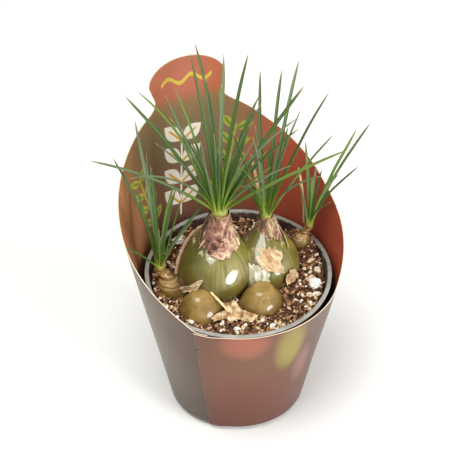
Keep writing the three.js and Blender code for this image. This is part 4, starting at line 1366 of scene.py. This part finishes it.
def make_collar(name, collar, paints):
    """Dry scales round a neck: a mantle, torn scales over it, scales by the leaves and a knot."""
    bulb = BULBS[collar["bulb"]]
    draws = np.random.RandomState(collar["seed"])
    body = Body()
    add_mantle(body, bulb, collar)
    start = bulb["neck"] * FOOT_SHARE + 0.2
    for index in range(LYING_SCALES):
        direction = 360 / LYING_SCALES * index + 8 * draws.rand()
        length = collar_reach(collar, direction) * (0.25 + 0.7 * draws.rand())
        half_angle = 8 + 9 * draws.rand()
        tatter(body, bulb, direction, half_angle, start, length, 0.8 + 0.4 * draws.rand(), draws)
    for index in range(STANDING_SCALES):
        direction = 26 * index + 20 * draws.rand()
        length = 1.6 + collar["rise"] * (0.4 + 0.9 * draws.rand())
        half_angle = 10 + 12 * draws.rand()
        tatter(body, bulb, direction, half_angle, start, length, 0.4, draws, upright=0.8)
    add_knot(body, bulb, collar["knot"], collar["seed"])
    body.piece(f"{name}_scales", paints, "neck_scales", [name])


def make_star(paint):
    """The torn, pointed scrap in front of the bulbs."""
    turn, reach = np.array(STAR["outline"]).T
    turn = np.radians(turn)
    corners = joined(reach * np.cos(turn), reach * np.sin(turn))
    steps = column(0, 1, 9)[:-1]
    outline = np.vstack([lerp(a, b, steps) for a, b in zip(corners, np.roll(corners, -1, axis=0))])
    ragged = ring_noise(len(outline), 0.1, 6.0)[:, None]
    share = column(0.03, 1, 18)[..., None]
    x, y = np.moveaxis(share * outline * (1 + 0.14 * ragged), -1, 0)
    flat = joined(x, y, 0)
    folds = rough(flat, 2.2, 2.0) + 0.5 * rough(flat, 0.9, 5.0)
    z = 0.5 + 0.6 * folds + 0.012 * np.hypot(x, y) ** 2 * (0.5 + rough(flat, 4, 9.0))
    # Painted shade and light: the scrap is darker in the hollows of its folds and lighter on their crests.
    look = joined(y / PAPER_SCALE, x / PAPER_SCALE, 0.55 + 0.5 * folds)
    tilt, swing = math.radians(STAR["tilt"]), math.radians(STAR["swing"])
    y, z = rotated(y, z, tilt)
    x, y = rotated(x, y, swing)
    body = Body()
    add_sheet(body, joined(x, y, z) + np.array(STAR["centre"]), look, 0.2, closed=True)
    body.piece("tunic_star_paper", [paint], "papery_tunic", ["tunic_star"])


def make_straw(paint):
    sides = SIDES["straw"]
    path = smooth_path(STRAW, 10)
    share = np.linspace(0, 1, len(path))
    radii = np.interp(share, [0, 0.3, 0.7, 1], [0.5, 0.65, 0.65, 0.45])
    points, faces = tube(path, radii * (1 + 0.12 * np.sin(share * 23)), sides, flatten=0.55)
    look = joined(share[:, None] * 4, 0.2 * np.cos(turns(sides)), 0.7)
    look = with_ends(look, (0, 0, 0.7), (0, 0, 0.7))
    Body().add(points, faces, look).piece("straw_strip", [paint], "dry_leaf", ["straw"])


# ---------------- soil


def soil_top(x, y):
    away = np.hypot(x - SOIL_HEAP["x"], y - SOIL_HEAP["y"]) / SOIL_HEAP["spread"]
    heap = SOIL_HEAP["height"] * np.exp(-away * away)
    bank = SOIL_BANK["height"] * smoothstep(np.hypot(x, y), SOIL_BANK["from"], SOIL_BANK["to"])
    lumps = 0.5 * np.sin(0.55 * x + 1) * np.cos(0.48 * y) + 0.35 * np.sin(1.1 * x - 0.9 * y)
    return SOIL_LEVEL + np.maximum(heap, bank) + lumps


def make_soil(paint):
    turn = -turns(SIDES["soil"])
    radii = column(SOIL_EDGE, 0.4, 74)
    x, y = radii * np.sin(turn), radii * np.cos(turn)
    level = soil_top(x, y)
    place = joined(x, y, level)
    crumbly = 0.75 * rough(place, 2.6, 1.0) + 0.5 * rough(place, 1.1, 5.0)
    fade = smoothstep(SOIL_EDGE + 0.1 - radii, 0, 1.5)
    top = joined(x, y, level + crumbly * fade)
    base = POT_FLOOR + GAP
    walls = [points_round(pot_wall_inside(z) - GAP, turn, z)[None] for z in (base, 30, SOIL_LEVEL - 2)]
    points, faces = capped(np.concatenate([*walls, top]), (0, 0, base), top[-1].mean(axis=0))
    Body().add(points, faces).piece("soil_bed", [paint], "soil", ["soil"])


def icosahedron():
    """Points and faces of an icosahedron of radius 1."""
    long = (1 + math.sqrt(5)) / 2
    points = [(-1, long, 0), (1, long, 0), (-1, -long, 0), (1, -long, 0)]
    points += [(z, x, y) for x, y, z in points[:4]] + [(y, z, x) for x, y, z in points[:4]]
    points = np.array(points, float)
    points /= np.linalg.norm(points[0])
    hull = bmesh.new()
    for point in points:
        hull.verts.new(point)
    bmesh.ops.convex_hull(hull, input=hull.verts)
    return read_out(hull)


def scatter(draws, count, reach):
    """Random places on the soil's open surface, as x, y and z."""
    angle = draws.uniform(0, 2 * np.pi, count)
    radius = reach * np.sqrt(draws.uniform(0, 1, count))
    x, y = radius * np.sin(angle), radius * np.cos(angle)
    z = soil_top(x, y)
    free = np.ones(count, bool)
    for bulb in BULBS.values():
        outline = full_outline(bulb)
        cx, cy, cz = bulb["centre"]
        out = np.interp((z - cz) / bulb["radius"], outline[:, 1], outline[:, 0]) * bulb["radius"]
        free &= np.hypot(x - cx, y - cy) > out + 0.2
    return joined(x, y, z)[free]


def add_grains(body, draws, places, sizes, shape, shades):
    """Irregular grains: shape gives each one's spread of length, width and height."""
    base, faces = icosahedron()
    count = len(places)
    stretch = draws.uniform(*shape, size=(count, 1, 3))
    jitter = draws.uniform(0.7, 1.25, size=(count, len(base), 1))
    x, y, z = np.moveaxis(base[None] * jitter * stretch * sizes[:, None, None], -1, 0)
    spin = draws.uniform(0, 2 * np.pi, count)[:, None]
    tip = draws.normal(0, 0.35, count)[:, None]
    x, z = rotated(x, z, tip)
    x, y = rotated(x, y, spin)
    firsts = (np.arange(count) * len(base))[:, None, None]
    faces = (faces + firsts).reshape(-1, 3).tolist()
    look = joined(np.repeat(shades, len(base)), 0, 0)
    body.add(joined(x, y, z) + places[:, None], faces, look)


def make_crumbs(paint):
    """Loose soil, wood fibres, bark chips and small perlite, by one seeded draw."""
    draws = np.random.RandomState(CRUMB_SEED)
    kinds = [
        # count, sizes, stretch, shades, and lift as a share of the size
        (4600, (0.35, 1.1), ([0.8, 0.7, 0.6], [1.3, 1.1, 0.9]), (0.0, 0.5), 0.1),
        (2600, (0.35, 0.95), ([0.9, 0.6, 0.5], [1.6, 1.0, 0.8]), (0.36, 0.74), 0.35),
        (520, (0.4, 1.0), ([1.2, 0.35, 0.25], [2.8, 0.6, 0.45]), (0.5, 0.86), 0.5),
        (260, (0.7, 1.5), ([0.9, 0.6, 0.3], [1.5, 1.0, 0.5]), (0.62, 0.9), 0.5),
        (440, (0.35, 1.0), ([0.9, 0.8, 0.6], [1.3, 1.1, 0.9]), (0.84, 0.98), 0.5),
        (60, (0.9, 1.7), ([0.9, 0.7, 0.6], [1.3, 1.1, 0.9]), (0.86, 1.0), 0.4),
    ]
    body = Body()
    for count, size, shape, shade, lift in kinds:
        places = scatter(draws, count, SOIL_EDGE - 0.2)
        sizes = size[0] + (size[1] - size[0]) * draws.uniform(0, 1, len(places)) ** 2
        places[:, 2] += sizes * (lift + draws.uniform(-0.2, 0.5, len(places)))
        add_grains(body, draws, places, sizes, shape, draws.uniform(*shade, len(places)))
    body.piece("soil_crumbs", [paint], "soil", flat=True)


def make_perlite(paint):
    for index, (x, y, size) in enumerate(PERLITE, 1):
        lump = bmesh.new()
        bmesh.ops.create_icosphere(lump, subdivisions=4, radius=1)
        points, faces = read_out(lump)
        shape = 1.06 - 0.5 * np.abs(rough(points, 0.8, index * 3.0)) + 0.14 * rough(points, 0.3, index)
        points = points * shape[:, None] * size * (0.97, 0.83, 0.78)
        points[:, 0], points[:, 1] = rotated(points[:, 0], points[:, 1], x)
        points += x, y, soil_top(x, y) + size * 0.35
        body = Body().add(points, faces)
        body.piece(f"perlite_{index}_grain", [paint], "perlite", [f"perlite_{index}"])


# ---------------- floor, light, camera


def make_floor(paint):
    mesh = bpy.data.meshes.new("floor")
    corners = [(-1, -1), (1, -1), (1, 1), (-1, 1)]
    mesh.from_pydata([(x * FLOOR_HALF, y * FLOOR_HALF, 0) for x, y in corners], [], [(0, 1, 2, 3)])
    mesh.materials.append(paint.material)
    floor = link("floor", mesh)


def aim(thing, place, target):
    thing.location = place
    thing.rotation_mode = "QUATERNION"
    thing.rotation_quaternion = (Vector(target) - Vector(place)).to_track_quat("-Z", "Y")


def add_softbox(name, place, size, power):
    light = bpy.data.lights.new(name, "AREA")
    light.shape = "DISK"
    light.size = size
    light.energy = power
    aim(link(name, light), place, SOFTBOX_TARGET)


def light_studio():
    world = bpy.data.worlds.new("studio")
    world.use_nodes = True
    sky = world.node_tree.nodes["Background"].inputs
    sky["Color"].default_value = SKY_COLOUR
    sky["Strength"].default_value = SKY_STRENGTH
    bpy.context.scene.world = world
    for name, softbox in SOFTBOXES.items():
        add_softbox(name, **softbox)


def place_camera():
    camera = bpy.data.cameras.new("camera")
    camera.sensor_width = 36
    camera.lens = CAMERA["lens"]
    camera.clip_start = 0.01
    holder = link("camera", camera)
    aim(holder, CAMERA["place"], CAMERA["target"])
    bpy.context.scene.camera = holder
    bpy.context.scene.view_settings.view_transform = "Standard"


# ---------------- assembly


def main():
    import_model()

    make_sleeve([card_outside(), card_inside(), card_edge()])
    make_pot(pot_plastic())

    # Greens run from foot to neck; the foot's lighter brown is partly the skin's own colour and partly
    # painted light thrown up onto the belly.
    greens = "94783f", "5f5322", "665e24", "7a762d"
    golds = "4c3720", "56421b", "765f2a", "957a3e"
    skins = {
        "bulb_main": bulb_paint("bulb_skin_main", greens, "6e5430", 0.16, 1.0, older_share=0.7),
        "bulb_offset": bulb_paint("bulb_skin_offset", greens, "6e5430", 0.16, 1.0, older_share=0.3),
    }
    golden = bulb_paint("bulblet_skin", golds, "7a4f2a", 0.55, 0.6)
    ringed = bulb_paint("bulblet_ringed_skin", golds, "6b4f29", 0.2, 0.4, ringed=0.9)
    for name, bulb in BULBS.items():
        if name in skins:
            make_bulb(name, bulb, skins[name], "bulb_skin")
        else:
            make_bulb(name, bulb, golden if "front" in name else ringed, "bulblet_skin")

    tunic = paper_paint("papery_tunic", "6b4526", "b08a5f", "dccaa6", 0.15, stain=0.5)
    silver = paper_paint("silver_tunic", "77743c", "b0ab8e", "f1eee4", 0.2)
    rim = paper_paint("tunic_rim", "5a3a26", "a9805f", "cfb091", 0.1)
    necks = [
        paper_paint("neck_scales", "4a3120", "8f6c49", "d9c19a", 0.1),
        paper_paint("neck_knot", "40261a", "8d6151", "d8bb9b", 0.1),
    ]
    dry = paper_paint("dry_leaf", "9c7a4c", "c9ac77", "e6d3a6", 0.1)
    make_leaves(leaf_paint(), sheath_paint(), dry)
    for name, collar in COLLARS.items():
        make_collar(name, collar, necks)
    for name, flake in FLAKES.items():
        is_silver = name == "tunic_flake_silver"
        slot = "silver_tunic" if is_silver else "papery_tunic"
        make_flake(name, flake, silver if is_silver else tunic, slot)
    for name, edge in EDGES.items():
        make_edge(name, edge, rim)
    make_star(tunic)
    make_straw(dry)

    make_soil(soil_paint())
    make_crumbs(crumb_paint())
    make_perlite(perlite_paint())

    make_floor(floor_paint())
    light_studio()
    place_camera()


main()
